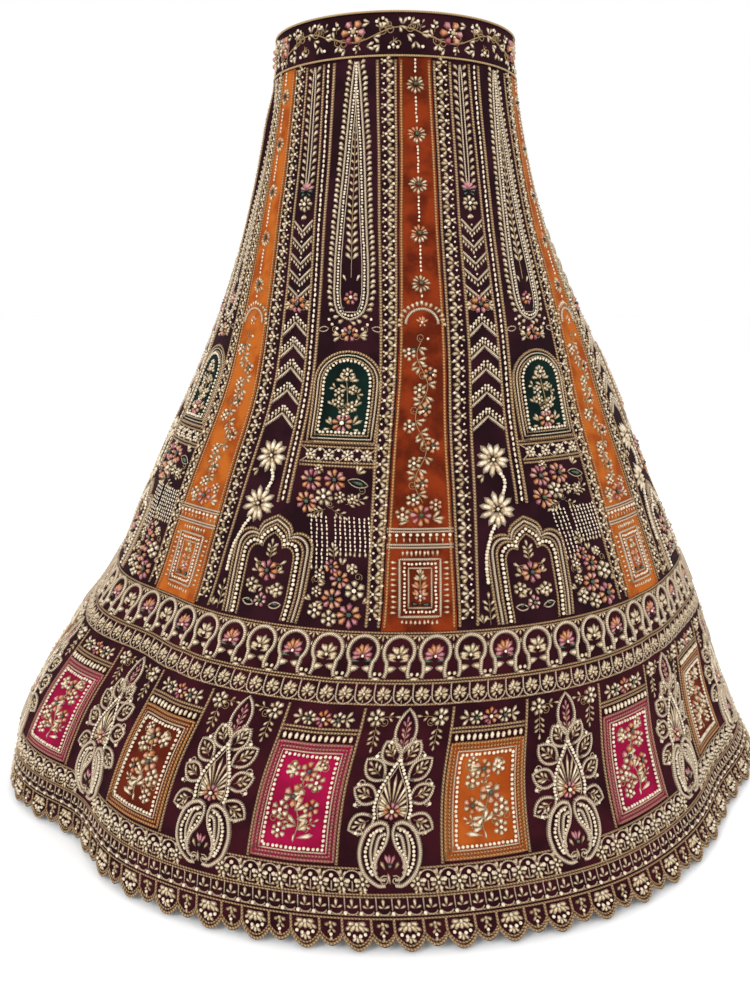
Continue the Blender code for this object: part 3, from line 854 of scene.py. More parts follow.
def sewn_pieces(name, region):
    """Joins what was sewn on one region into a piece for each kind of thread."""
    for thread, shapes in region.items():
        points, triangles, trace, tone = joined(shapes)
        mesh = bpy.data.meshes.new(f"{name}_{thread}")
        mesh.vertices.add(len(points))
        mesh.vertices.foreach_set("co", points.reshape(-1))
        mesh.loops.add(triangles.size)
        mesh.loops.foreach_set("vertex_index", triangles.reshape(-1).astype(np.int32))
        mesh.polygons.add(len(triangles))
        mesh.polygons.foreach_set("loop_start", 3 * np.arange(len(triangles), dtype=np.int32))
        mesh.update(calc_edges=True)
        mesh.validate()
        mesh.shade_smooth()
        mesh.attributes.new("tone", "FLOAT", "POINT").data.foreach_set("value", tone.astype(np.float32))
        corners = trace[triangles.reshape(-1)].astype(np.float32)
        mesh.uv_layers.new(name="trace").data.foreach_set("uv", corners.reshape(-1))
        finish, slot = THREADS[thread]
        mesh.materials.append(finish)
        piece = bpy.data.objects.new(mesh.name, mesh)
        bpy.context.scene.collection.objects.link(piece)
        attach(piece, "root")


def frame_path(half_x, half_y, y, steps=4):
    """Points round a rectangle."""
    ends = [(-half_x, y - half_y), (half_x, y - half_y), (half_x, y + half_y), (-half_x, y + half_y)]
    runs = [np.linspace(a, b, steps, endpoint=False) for a, b in zip(ends, ends[1:] + ends[:1])]
    return np.concatenate(runs)


# On each colour kali, from the waist down: a string of pearls that links five flowers, an arch of
# drops, a climbing vine, a bar of pins and a small framed tree. Chains edge both seams.
strip = {}
FLOWER_DROPS = (0.031, 0.089, 0.149, 0.207, 0.265)
STRING_END = 0.284
for k, level in enumerate(FLOWER_DROPS):
    if k % 2:
        flower(strip, 0, down(level), 12, 12, (0.5, 0.5, 0.85, 0.75, 0.9, 0.75, 0.85) + 5 * (0.6,),
               2 * SILVER + 5 * ROSE + 5 * SILVER, "green", 0)
    else:
        flower(strip, 0, down(level), 12, 12, (0.65, 0.4), centre="green")
for above, below in zip((0.0,) + FLOWER_DROPS, FLOWER_DROPS + (STRING_END,)):
    start = down(above) - (14 if above else 1)
    end = down(below) + (3 if below == STRING_END else 14)
    string(strip, [(0, start), (0, end)], 4.4, 1.5, 1.4)
middle = down(0.311)
cord(strip, "silver_cord", arc(0, middle, 19, 0, 180, 15), 4.2)
for turn in np.linspace(0, 180, 15):
    lay(strip, *turned(0, middle, turn, 21.2), turn, 8.4, 6.2, 2.4, 0.6)
draw(strip, 0, middle + 2, (
    (spray, 0, 0, (30, 60, 90, 120, 150), 9, 3.6, 0.8, "rose"),
    (spray, 0, 0, (-50, -130), 6, 3.2, 0.6),
    (bead, 0, 0, 1.8),
))
VINE_WAVE = 74
vine_y = np.linspace(down(0.327), down(0.502), 40)
vine = np.stack([6.5 * np.sin((vine_y - vine_y[0]) * 2 * math.pi / VINE_WAVE), vine_y], axis=1)
cord(strip, "gold_cord", vine, 1.4)
for k, (x, y, turn) in enumerate(evenly(vine, 7.4)):
    side = 1 if k % 2 else -1
    if k % 6 == 2:
        flower(strip, x + 9 * side, y, 8.5, 6, (0.7, 0.5))
    elif k % 6 == 5:
        flower(strip, x + 8 * side, y - 2, 9, 6, (0.8, 0.95, 0.6), TWO_ROSE_ONE_SILVER, "green")
    elif k % 6 == 0:
        curl(strip, x, y, turn + 60 * side, 5.0, side)
        bead(strip, x - 8 * side, y + 3, 1.8)
    else:
        spray(strip, x, y, (turn + 45 * side, turn + 90 * side), 11.5, 5.6, 0.55)
        spray(strip, x, y, (turn - 60 * side,), 10, 5.0, 0.5, "green" if k % 12 == 1 else "silver_leaf")
draw(strip, 0, down(0.515), (
    (flower, 1, 0, 13, 8, (0.75, 0.9, 0.3, 0.2), ROSE, "green"),
    (flower, -20, 1, 9, 6, (0.7, 0.5)),
    (flower, 17, 12, 8, 6, (0.85, 0.6), ROSE_AND_SILVER),
    (spray, 13, -4, (-25, 10, 45), 14, 6, 0.6),
    (spray, -12, -6, (200, 160), 13, 5.5, 0.6),
    (curl, -8, 4, 110, 5),
))
for level in (0.529, 0.532, 0.5455, 0.5485):
    cord(strip, "silver_cord", [(-37, down(level)), (37, down(level))], 3.2)
for x in np.linspace(-33, 33, 10):
    bead(strip, x, down(0.5345) - 1, 2.2)
    lay(strip, x, down(0.5445), 90, 8, 3.4, 1.6)
box, BOX_X, BOX_Y = down(0.590), 21.5, 31.0
for inset, width in ((-1.0, 3.8), (8.8, 2.6)):
    cord(strip, "silver_cord", frame_path(BOX_X - inset, BOX_Y - inset, box), width, closed=True)
string(strip, shut(frame_path(BOX_X - 4.2, BOX_Y - 4.2, box)), 4.3, 1.75)
for x in np.linspace(-19, 19, 9):
    lay(strip, x, box + BOX_Y + 3.8, 90, 8.0, 4.4, 2.0, 0.65)
    lay(strip, x, box - BOX_Y - 3.8, -90, 6.0, 4.4, 2.0, 0.65)
for y in np.linspace(-28, 28, 10):
    draw_pair(strip, 0, box + y, ((lay, BOX_X + 3.5, 0, 90, 8.0, 4.4, 2.0, 0.65),))
cord(strip, "gold_cord", [(0, box - 18), (0, box + 16)], 1.5)
for up, reach, tone, thread in ((-10, 11, 0.85, "rose"), (-1, 11, 0.85, "rose"), (8, 9, 0.55, "silver_leaf")):
    draw_pair(strip, 0, box + up, ((spray, 0, 0, (58, 30), reach, 5.4, tone, thread),))
draw(strip, 0, box, (
    (spray, 0, 14, (90, 60, 120), 8, 4.4, 0.6),
    (flower, 0, -9, 7, 6, (0.25, 0.6), ROSE_AND_SILVER),
    (spray, 0, -19, (10, 170), 11.5, 6.5, 0.4, "green"),
))

on_colour_kalis = {}
sew(on_colour_kalis, strip, EVERY_UNIT)
CHAIN_START = 0.003
seam_drops = np.linspace(CHAIN_START, PANELS_END - CHAIN_START, 76)
for unit in EVERY_UNIT:
    for side in (-1, 1):
        beside = half_kali(seam_drops) - 0.0030 / unit_width(seam_drops)
        couch(on_colour_kalis, "peach_chain", unit + side * beside, seam_drops, 4.2, 1.4, tone=0.55)
sewn_pieces("colour_kali", on_colour_kalis)

# Needlework on the maroon kalis
# Four chains part each maroon kali into columns of small flowers at both seams, a leaf panel with
# chevrons, a narrow divider that opens into a lobed window, and the loop panel with the arched window.
# Lines of the four chains across a unit: drop, first flower column, leaf panel, divider, loop panel
COLUMNS = np.array([
    (0.000, 0.235, 0.382, 0.462, 0.757),
    (0.200, 0.236, 0.393, 0.458, 0.780),
    (0.394, 0.236, 0.405, 0.455, 0.800),
    (0.520, 0.220, 0.406, 0.452, 0.812),
    (0.634, 0.200, 0.400, 0.452, 0.820),
])
# Middle of the loop panel across a unit: drop, place
LOOP_CENTRE = np.array([
    (0.000, 0.621), (0.200, 0.626), (0.394, 0.638), (0.470, 0.645), (0.545, 0.690), (0.634, 0.715),
])
LOBED_WINDOW_AT = 0.425


def part_line(k, drop):
    """The lines that part a unit: its first seam for k = 0, the four chains, and its last seam for 5."""
    if k == 0:
        return half_kali(drop)
    return 1 - half_kali(drop) if k == 5 else read(COLUMNS, k, drop)


def after(k):
    """The middle of the column that follows a part line, as a line down the cloth."""
    return lambda drop: (part_line(k, drop) + part_line(k + 1, drop)) / 2


def loop_panel(drop):
    return read(LOOP_CENTRE, 1, drop)


on_maroon = {}
for side, k in ((-1, 0), (1, 4)):
    column = {}
    facing = 90 - 90 * side
    for row in range(37):
        draw(column, 0, -5.0 - 18.4 * row, (
            (spray, -3.0 * side, 0, (facing - 52, facing, facing + 52), 10.5, 6.6, 0.45 + 0.2 * (row % 2)),
            (spray, -3.5 * side, 0, (facing + 145, facing - 145), 6.5, 4.0),
            (bead, -3.5 * side, 0, 2.0),
            (lay, -0.5 * side, -9.2, facing, 9.5, 3.0, 1.6, 0.6, "silver_leaf", "leaf"),
            (bead, 5.5 * side, -9.2, 1.9),
            (bead, -5.0 * side, -9.2, 1.5),
        ))
    sew(on_maroon, column, EVERY_UNIT, after(k))


def chevron(work, y, half, ends, quarter, point, width, pitch):
    """Couches a chevron of cord at a level, and gives even places along it for its pins."""
    arms = [(-half, y + ends), (-half / 2, y + quarter), (0, y + point), (half / 2, y + quarter),
            (half, y + ends)]
    cord(work, "silver_cord", arms, width)
    return evenly(arms, pitch)


leafy = {}
vine_top, vine_foot = down(0.005), down(0.148)
for side in (-1, 1):
    cord(leafy, "silver_cord", smooth([(0.6 * side, vine_top), (2.0 * side, vine_top - 25),
                                       (2.4 * side, vine_foot + 30), (1.2 * side, vine_foot)]), 2.6)
    for k in range(17):
        lay(leafy, (2.5 + 0.1 * k) * side, vine_top - 7 - 9.1 * k, 90 - 42 * side, 10.5, 6.4, 2.4,
            0.45 + 0.3 * (k % 2))
spray(leafy, 0, down(0.152), (25, 57, 90, 123, 155), 12, 6.0, 0.3, "rose")
spray(leafy, 0, down(0.154), (10, 170, -35, -145), 11, 5.5, 0.5, "green")
flower(leafy, 0, down(0.169), 11, 8, (0.7, 0.5))
spray(leafy, 0, down(0.181), (-60, -90, -120), 8, 4.6, 0.6)
for k in range(5):
    y = down(0.197 + 0.0195 * k)
    for x, at_y, _ in chevron(leafy, y, 14.5 + 0.7 * k, 9, 1.5, -6, 3.8, 4.6):
        lay(leafy, x, at_y - 2, -90, 7.2, 4.2, 1.8, 0.65)
    bead(leafy, 0, y + 2, 1.5)
bloom = down(0.289)
flower(leafy, 0, bloom, 12.5, 7, (0.2, 0.85, 0.9, 0.3), ROSE, "green")
draw_pair(leafy, 0, bloom, (
    (curl, 7, 6, 50, 4.5, -1),
    (curl, 7, -6, 130, 4.5, 1),
    (spray, 10, 0, (90, 50, 130), 10, 5.4, 0.6),
    (curl, 10, 12, 0, 4.5, 1),
))
for k in range(5):
    for x, at_y, _ in chevron(leafy, down(0.3165 + 0.0255 * k), 17.5 + 0.6 * k, -9, -1, 7, 4.4, 4.8):
        lay(leafy, x, at_y + 2.2, 90, 7.6, 4.4, 1.9, 0.7)
        bead(leafy, x, at_y + 10.2, 1.7)
# Two palm flowers with thick beaded stems: level, radius, points of the stem from the flower
for level, radius, stem in ((0.4585, 22.0, ((6, -16), (11, -28), (7, -42))),
                            (0.5120, 22.5, ((-5, -17), (-13, -34), (-19, -58), (-19, -84)))):
    y = down(level)
    for turn in range(0, 360, 33):
        lay(leafy, *turned(1, y, turn, 3), turn, radius - 3, 8.4, 3.6, 0.8, "silver_leaf", "leaf")
    flower(leafy, 1, y, 0.42 * radius, 7, (0.5, 0.35), width=1.2)
    string(leafy, smooth(np.add(stem, (1, y))), 3.7, 2.4)
spray(leafy, -12, down(0.474), (200, 240), 10, 5.2)
sprig(leafy, -17, down(0.6310), 92, 27, 3, 10, 0.6)
spray(leafy, -26, down(0.6290), (60, 95, 130), 11, 5.2)
sew(on_maroon, leafy, EVERY_UNIT, after(1))

thread_line = {}
string(thread_line, [(0, down(0.003)), (0, down(0.506))], 6.4, 1.6, 1.9)
sew(on_maroon, thread_line, EVERY_UNIT, after(2))

# The lobed window: half of its line, from the left foot to the top of its crown
lobed = {}
heart, crown, shoulder, lobed_foot = down(0.586), down(0.540), down(0.556), down(0.632)
left_lobes = np.vstack([[(-48, lobed_foot), (-50, down(0.605)), (-50, down(0.578))],
                        arc(-31, shoulder, 18.5, 180, 60, 8),
                        [(-20.5, crown + 4), (-17, crown + 10), (-10, crown + 14.5), (0, crown + 19.5)]])
lobes = np.vstack([left_lobes, left_lobes[-2::-1] * (-1, 1)])


def set_in(inset):
    """The lobed line drawn in by some millimetres, with its foot kept."""
    return np.stack([lobes[:, 0] * (1 - inset / 49),
                     lobed_foot + (lobes[:, 1] - lobed_foot) * (1 - inset / 118)], axis=1)


for inset, thread, width in ((0.0, "gold_chain", 4.4), (5.0, "silver_cord", 4.2), (9.8, "gold_chain", 4.2),
                             (19.6, "gold_chain", 3.4)):
    cord(lobed, thread, set_in(inset), width, height=0.42 * width)
string(lobed, set_in(14.8), 4.9, 2.35)
draw(lobed, 0, heart, (
    (flower, 0, 5, 13.5, 8, (0.2, 0.35, 0.85, 0.9), ROSE, "green"),
    (flower, -17, -13, 9.5, 6, (0.7, 0.5)),
    (flower, 16, -16, 9.5, 6, (0.7, 0.5)),
    (flower, -2, -30, 9, 7, (0.3, 0.6), ROSE_AND_SILVER, "green"),
    (sprig, 0, 17, 90, 17, 3, 10),
))
draw_pair(lobed, 0, heart, (
    (curl, 9, 12, 30, 5, -1),
    (outlined, 10, -35, 80, 15, 7, 2.2),
    (spray, 10, -22, (75, 35), 10, 5.2, 0.6),
    (spray, 13, 12, (50,), 10, 5.0, 0.6),
    (spray, 9, -30, (100,), 12, 5.4, 0.5, "green"),
    (spray, 12, 3, (80, 30), 10, 5.4, 0.55),
    (spray, 2, -14, (100, 150), 9, 4.6, 0.55),
))
sew(on_maroon, lobed, EVERY_UNIT, lambda drop: LOBED_WINDOW_AT + 0 * drop)

# The loop panel: a long leaf-edged loop, a bloom under it, then the arched window, a band of crosses,
# a bouquet, hanging bead strings and a climbing bunch of flowers
loop = {}
top, foot = down(0.004), down(0.306)
# Half width of the loop: share of its length, millimetres
LOOP_WIDTHS = np.array([
    (0.0, 2.0), (0.08, 5.0), (0.3, 10.5), (0.55, 15.5), (0.78, 20.0), (0.90, 20.5), (0.94, 19.0),
    (0.97, 15.5), (0.988, 10.0), (1.0, 0.0),
])
t = np.concatenate([np.linspace(0, 0.9, 40), np.linspace(0.91, 1.0, 10)])
right_side = np.stack([np.interp(t, LOOP_WIDTHS[:, 0], LOOP_WIDTHS[:, 1]), top - (top - foot) * t], axis=1)
outline = np.vstack([right_side, right_side[-2::-1] * (-1, 1)])


def loop_inside(inset, narrowest, above_foot):
    """The loop's outline drawn in from its sides and its foot."""
    return np.stack([np.sign(outline[:, 0]) * np.maximum(np.abs(outline[:, 0]) - inset, narrowest),
                     np.maximum(outline[:, 1], foot + above_foot)], axis=1)


cord(loop, "silver_cord", loop_inside(0.0, 0.4, 0.0), 3.6)
cord(loop, "silver_cord", loop_inside(7.2, 0.4, 9.36), 1.8)
string(loop, loop_inside(4.2, 0.3, 5), 3.9, 1.6)
for x, y, turn in evenly(outline, 6.8):
    lay(loop, *turned(x, y, turn + 90, 1.8), turn + 90 + (38 if x > 0 else -38), 9.0, 6.8, 2.4, 0.65)
cord(loop, "gold_cord", [(0, down(0.07)), (0, down(0.16)), (0, down(0.258))], 1.3)
for k in range(19):
    reach = 5.0 + 0.42 * k
    draw_pair(loop, 0, down(0.075) - 9.6 * k, ((lay, 0, -4, 38, reach, 0.56 * reach, 1.8, 0.6),))
draw_pair(loop, 0, down(0.262), (
    (spray, 6, 0, (25,), 10, 4.6, 0.7),
    (spray, 5, down(0.291) - down(0.262), (118,), 10, 6.5, 0.3, "green"),
))
flower(loop, 0, down(0.281), 9.5, 7, (0.15, 0.3, 0.85, 0.9), ROSE)
bloom = down(0.321)
flower(loop, 0, bloom, 10.5, 7, (0.85, 0.2, 0.95), ROSE, "green")
for x, y in arc(0, down(0.299), 27, 200, 340, 9, 23 / 27):
    bead(loop, x, y, 2.0)
draw_pair(loop, 0, bloom, (
    (curl, 6, 0, 70, 4.6, -1),
    (curl, 17, 1, 100, 4.2, 1),
    (spray, 11, -3, (120, 60, 90), 11, 5.4, 0.55),
    (outlined, 26, 6, 100, 13, 6, 1.6),
))
band_top, band_foot = down(0.441), down(0.465)
for y in (band_top, band_top - 4.0, band_foot + 4.0, band_foot):
    cord(loop, "gold_chain", [(-46, y), (46, y)], 3.4, height=1.2)
middle = (band_top + band_foot) / 2
for k in range(4):
    x = -33 + 22 * k
    for rise in (-8.5, 8.5):
        cord(loop, "silver_cord", [(x - 11, middle - rise), (x, middle), (x + 11, middle + rise)], 2.0)
    flower(loop, x, middle, 7.5, 7, (0.9, 0.75), width=1.4)
    if k:
        bead(loop, x - 11, middle + 5, 2.0)
        bead(loop, x - 11, middle - 5, 2.0)
ROSE_TONES = ((0.15, 0.3, 0.8, 0.9), (0.9, 0.75, 0.3), (0.85, 0.7, 0.95, 0.25))
bouquet = down(0.487)
for k, (x, y) in enumerate(((-30, 7), (-2, 8), (-36, -19))):
    flower(loop, x, bouquet + y, 13.5, 9, ROSE_TONES[k], ROSE, "green")
draw(loop, 0, bouquet, (
    (flower, -15, -12, 11.5, 7, (0.75, 0.5)),
    (flower, 4, -12, 7.5, 7, (0.75, 0.5)),
    (flower, 18, -13, 7, 7, (0.75, 0.5)),
    (flower, -22, 20, 6, 7, (0.75, 0.5)),
    (outlined, 13, 8, -14, 24, 9.5, 1.6),
    (spray, 14, 8, (-14,), 20, 7.5, 0.35, "green"),
    (sprig, 10, -20, 22, 20, 3, 9),
    (sprig, -14, -26, -160, 16, 3, 9),
    (sprig, -6, -26, -30, 14, 2, 8),
    (spray, 24, 16, (20, 60, 100), 11, 5.4, 0.6),
    (curl, -16, 16, 80, 4.8),
    (curl, 26, -6, -40, 4.8),
    (curl, -4, -22, 250, 4.8, -1),
))
strings_top = bouquet - 33
for k, x in enumerate((-31, -25, -19, -13, -3, 2.5, 8, 13.5, 19, 24.5, 30, 35.5)):
    end = strings_top - (40 if k > 3 else 56)
    string(loop, [(x, strings_top), (x, end)], 4.4, 1.15, 1.75)
    lay(loop, x, end + 1, -90, 7.5, 4.2, 1.9, 0.7)
bunch = down(0.600)
for k, (x, y, radius) in enumerate(((-8, 32, 9), (2, 18, 11.5), (-6, -4, 13), (14, -21, 14.5))):
    flower(loop, x, bunch + y, radius, 8, ROSE_TONES[k % 3], ROSE, "green")
for x, y, radius in ((19, 6, 12.5), (-25, -18, 9.5), (-8, -26, 10.5), (-21, 22, 7), (-24, 3, 7), (16, 31, 7)):
    flower(loop, x, bunch + y, radius, 6, (0.8, 0.55))
sprig(loop, -4, bunch + 40, 100, 12, 2, 9)
for x, y, turn in ((-14, 12, 150), (10, 28, 40), (28, -8, 20), (-16, -8, 190), (-30, -8, 120), (4, 34, 60)):
    spray(loop, x, bunch + y, (turn, turn + 40), 10, 5.0, 0.55)
for x, y, turn, hand in ((-14, 14, 110, 1), (26, 18, 40, 1), (-28, 12, 150, -1)):
    curl(loop, x, bunch + y, turn, 4.8, hand)
sew(on_maroon, loop, EVERY_UNIT, loop_panel)

# The arched frame goes round the green velvet, and its filling lies on it
arched = {}


def arch_path(half_x, spring, rise, foot):
    """Points round an arch-topped frame, from its left foot over the top and back along the foot."""
    over = arc(0, spring, half_x, 180, 0, 13, rise / half_x)
    return np.vstack([[(-half_x, foot), (-half_x, (foot + spring) / 2)], over,
                      [(half_x, (foot + spring) / 2), (half_x, foot), (0, foot)]])


spring, foot = down(0.375), down(0.434)
for grow, thread, width in ((6.5, "gold_chain", 4.0), (2.2, "silver_cord", 3.0), (-1.8, "gold_chain", 3.6)):
    cord(arched, thread, arch_path(33 + grow, spring, 30 + grow, foot - grow), width, closed=True,
         height=0.45 * width)
string(arched, shut(arch_path(27.5, spring, 25.5, foot + 5)), 4.6, 1.95)
sew(on_maroon, arched, EVERY_UNIT, loop_panel, base=0.0008)
filling = {}
middle = (spring + foot) / 2
flower(filling, 0, spring + 9, 9, 8, (0.75, 0.55))
cord(filling, "gold_cord", smooth([(0, spring), (3, middle + 4), (0, foot + 16)]), 1.5)
draw(filling, 0, spring, (
    (flower, 8, -9, 6.5, 6, (0.7, 0.5)),
    (flower, -8, -13, 7, 6, (0.75, 0.55)),
    (spray, 1, -8, (20, 150, 200, -30), 11, 5.0, 0.55),
    (spray, 13, -14, (-60, 0, 60), 8, 4.4, 0.55),
    (spray, -13, -8, (120, 180), 8, 4.4, 0.55),
))
flower(filling, 0, foot + 16, 12.5, 9, (0.2, 0.3, 0.85, 0.9), ROSE)
draw(filling, 0, middle, (
    (flower, -7, 8, 7, 6, (0.7, 0.5)),
    (flower, 9, 3, 7.5, 6, (0.7, 0.5)),
    (flower, 0, -6, 7.5, 6, (0.75, 0.55)),
))
draw_pair(filling, 0, middle, (
    (spray, 3, spring + 1 - middle, (80, 40), 11, 5.4, 0.6),
    (curl, 4, -1, 85, 5, 1),
    (spray, 12, foot + 14 - middle, (20, 60), 12, 5.4, 0.55),
    (spray, 13, foot + 9 - middle, (100,), 9, 5.0, 0.55),
    (spray, 13, 4, (10, 55), 9, 4.8, 0.55),
))
sew(on_maroon, filling, EVERY_UNIT, loop_panel, base=SKIN_LIFT + SKIN_WALL)

# Chains along the part lines: line, its foot, steps, width and height in millimetres, metres after it
CHAINS = (
    (0, PANELS_END - CHAIN_START, 76, 4.2, 1.4, 0.0034), (5, PANELS_END - CHAIN_START, 76, 4.2, 1.4, -0.0034),
    (1, PANELS_END - CHAIN_START, 76, 4.6, 1.5, 0), (4, PANELS_END - CHAIN_START, 76, 4.6, 1.5, 0),
    (2, 0.508, 62, 4.4, 1.4, 0), (3, 0.508, 62, 5.2, 1.5, 0),
)
for unit in EVERY_UNIT:
    for k, end, steps, width, height, inside in CHAINS:
        drops = np.linspace(CHAIN_START, end, steps)
        line = unit + part_line(k, drops) + inside / unit_width(drops)
        couch(on_maroon, "gold_chain", line, drops, width, height)
sewn_pieces("maroon_kali", on_maroon)

# Needlework on the arch border
# A row of horseshoe arches in thick pinkish-silver cord, each with a flower, stands over a row of small
# cells with a seven-petal flower in each. Double chains part the rows.
ARCHES = 68
CELLS = 136
CELLS_TOP = 0.682
HALF_ARCH = 19.4
on_arch_border = {}


def ring(region, drop, width, height):
    """Couches a chain all round the skirt at one level."""
    u = np.linspace(-4, 4, 800, endpoint=False)
    couch(region, "gold_chain", u, np.full(len(u), drop), width, height, closed=True)


middle = down(0.6575)
HORSESHOE = np.vstack([[(13.5, middle - 23), (11.5, middle - 17)], arc(0, middle + 4, 16.5, -42, 222, 17),
                       [(-11.5, middle - 17), (-13.5, middle - 23)]])
# Two kinds in turn: petals' thread, their tones, thread of the side leaves
ARCH_KINDS = (("rose", (0.15, 0.3, 0.45, 0.85, 0.95, 0.8, 0.3, 0.15), "green"),
              ("silver_leaf", 8 * (0.65,), "silver_leaf"))
for k, (petals, tones, leaves) in enumerate(ARCH_KINDS):
    arch = {}
    cord(arch, "silver_cord", HORSESHOE, 5.6, tone=0.6)
    for petal, tone in enumerate(tones):
        lay(arch, 0, middle - 0.5, -22 + 32 * petal, 13, 6.6, 2.6, tone, petals)
    bead(arch, 0, middle - 1, 2.0)
    for side in (-1, 1):
        spray(arch, side, middle - 6.5, (90 - 76 * side,), 12.5, 5.2, 0.45, leaves)
        spray(arch, 0.5 * side, middle - 12.5, (90 - 100 * side,), 11.5, 9.5, 0.6)
        bead(arch, HALF_ARCH + 3.2 * side, middle - 19, 2.3, "silver_leaf", 0.7)
    draw(arch, HALF_ARCH, middle, (
        (lay, -6.5, -24, 0, 13, 4.4, 2.0, 0.7, "silver_leaf", "leaf"),
        (spray, 0, 22, (-90, -42, -138), 8.5, 3.8, 0.6),
        (lay, 0, 13, -90, 7.5, 2.8, 1.4, 0.6),
    ))
    sew(on_arch_border, arch, (np.arange(k, ARCHES, 2) + 0.5) * UNITS / ARCHES)
cell = {}
middle = down((CELLS_TOP + ARCHES_END) / 2)
CELL_CORD = ((-9.9, 11), (-9.9, 1), (-8.6, -6), (-4.5, -9.6), (0, -10.8), (4.5, -9.6), (8.6, -6), (9.7, -2))
cord(cell, "silver_cord", smooth(np.add(CELL_CORD, (0, middle)), 2), 2.3, tone=0.45)
for k in range(7):
    lay(cell, 0, middle - 1, -6 + 32 * k, 8.6, 4.8, 2.2, 0.6)
spray(cell, 0, middle - 1, (-42, -138), 8.0, 5.4, 0.6)
lay(cell, 0, middle - 10.5, 90, 6, 1.8, 1.0, 0.5, "silver_leaf", "leaf")
bead(cell, 0, middle - 0.5, 1.6)
sew(on_arch_border, cell, (np.arange(CELLS) + 0.5) * UNITS / CELLS)
for level in (PANELS_END + 0.0016, PANELS_END + 0.0044, CELLS_TOP - 0.0012, CELLS_TOP + 0.0016,
              ARCHES_END - 0.0018):
    ring(on_arch_border, level, 2.8, 1.1)
sewn_pieces("arch_border", on_arch_border)

# Needlework on the lower border
# Each padded fan carries outlined leaves, a drop filled with rays of cut tubes, and two paisleys. Each
# square patch has a chain frame, a row of pearls and a flowering branch, under a box of three flowers.
# Trefoils under arcs and a row of bells run below them all round.
on_fans = {}
fan = {}
heart = down(0.798)
outlined(fan, 0, heart + 54, 90, 45, 22, 4.2)
sprig(fan, 0, heart + 59, 90, 25, 4, 8, 0.3, "rose", 35)


def from_heart(points, side, steps=5):
    """A smooth path through points given out to one side and up from the fan's heart."""
    return smooth(np.array(points, float) * (side, 1) + (0, heart), steps)


# Leaves at each side: out, up, direction in degrees, length
LEAVES = ((3, 44, 57, 26), (13, 29, 43, 28), (17, 9, 24, 26), (18, -8, -27, 28))
PAISLEY_OUTSIDE = ((4, -15), (13, -13), (25, -21), (31.5, -42), (27, -63), (14, -75.5), (5, -76))
PAISLEY_INSIDE = ((4, -15), (2.5, -24), (6, -36), (13, -47), (16, -60), (12, -69), (5, -70))
for side in (-1, 1):
    for x, y, turn, length in LEAVES:
        lean = turn if side == 1 else 180 - turn
        outlined(fan, side * x, heart + y, lean, length + 1, 19.5, 4.2)
        sprig(fan, *turned(side * x, heart + y, lean, 6), lean, 0.42 * length, 2, 9.0, 0.6, spread=40)
    for x, y in ((13, 66), (25, 52), (38, 24), (39, 4), (36, -24)):
        curl(fan, side * (x - 3), heart + y - 3, 90 - 80 * side, 4.2, side, 1.8, "silver_cord")
        bead(fan, side * x, heart + y, 2.2)
    drop_edge = from_heart(((0, 50), (7, 36), (15, 20), (19, 2), (17.5, -10)), side)
    string(fan, drop_edge, 3.6, 2.0)
    cord(fan, "silver_cord", drop_edge - (3.4 * side, 0), 1.6)
    cord(fan, "silver_cord", from_heart(PAISLEY_OUTSIDE, side, 4), 5.6, tone=0.6)
    inner = from_heart(PAISLEY_INSIDE, side, 4)
    cord(fan, "silver_cord", inner, 4.4, tone=0.6)
    fill = from_heart(((8, -20), (19, -24), (25, -42), (22, -58), (17, -66)), side, 4)
    string(fan, fill, 4.0, 2.0)
    cord(fan, "silver_cord", fill * (0.80, 0.995) - (0, 2.5), 4.0, tone=0.7)
    cord(fan, "silver_cord", fill[:-5] * (0.62, 1) - (0, 4), 4.8, tone=0.55)
    string(fan, inner[3:-6] + (3.4 * side, -1), 4.0, 1.7)
    curl(fan, 3 * side, heart - 66, 90 - 60 * side, 5.5, -side, 1.8, "silver_cord")
    spray(fan, 4.5 * side, heart - 60, (90 - 30 * side,), 10, 5, 0.45)
RAYS = 19
for k in range(RAYS):
    turn = -24 + 228 * k / (RAYS - 1)
    upright = math.sin(math.radians(turn))
    reach = 14.5 + 21 * max(upright, 0) ** 5 + 1.5 * upright
    lay(fan, *turned(0, heart - 1, turn, 4.5), turn, reach - 2, 4.3, 2.3, 0.5 + 0.35 * (k % 2))
draw(fan, 0, heart, (
    (flower, 0, -2, 9.5, 8, (0.2, 0.85, 0.95, 0.3), ROSE),
    (spray, 0, -56, (65, 90, 115), 12, 4.6, 0.15, "rose"),
    (bead, 0, -55, 2.2, "green"),
    (lay, 0, -76, 90, 14, 4, 2, 0.5, "silver_leaf", "leaf"),
))
for side in (-1, 1):
    draw(fan, 34 * side, down(0.7155), (
        (flower, 0, 0, 10, 7, (0.75, 0.55)),
        (sprig, -8 * side, 1, 90 + 88 * side, 10, 1, 8),
        (sprig, -side, -8, -90, 19, 3, 8.5),
        (curl, -6 * side, -7, -90 - 40 * side, 4.4, -side),
    ))
sew(on_fans, fan, np.arange(-8, 8) * FAN_PITCH, padded=True)
sewn_pieces("fan", on_fans)

on_border = {}
patch_top, patch_foot = down(PATCH_TOP), down(PATCH_FOOT)
patch_middle = (patch_top + patch_foot) / 2
patch_centres = (np.arange(-8, 8) + 0.5) * FAN_PITCH


def fitted(inset):
    """A rectangle set in by some millimetres, widened downwards as its patch is."""
    path = frame_path(1.0, (patch_top - patch_foot) / 2 - inset, patch_middle, 8)
    half_x = PATCH_HALF * unit_width(-path[:, 1] * SLOPE / 1000) * 1000 - inset
    return path * np.stack([half_x, 1 + 0 * half_x], axis=1)


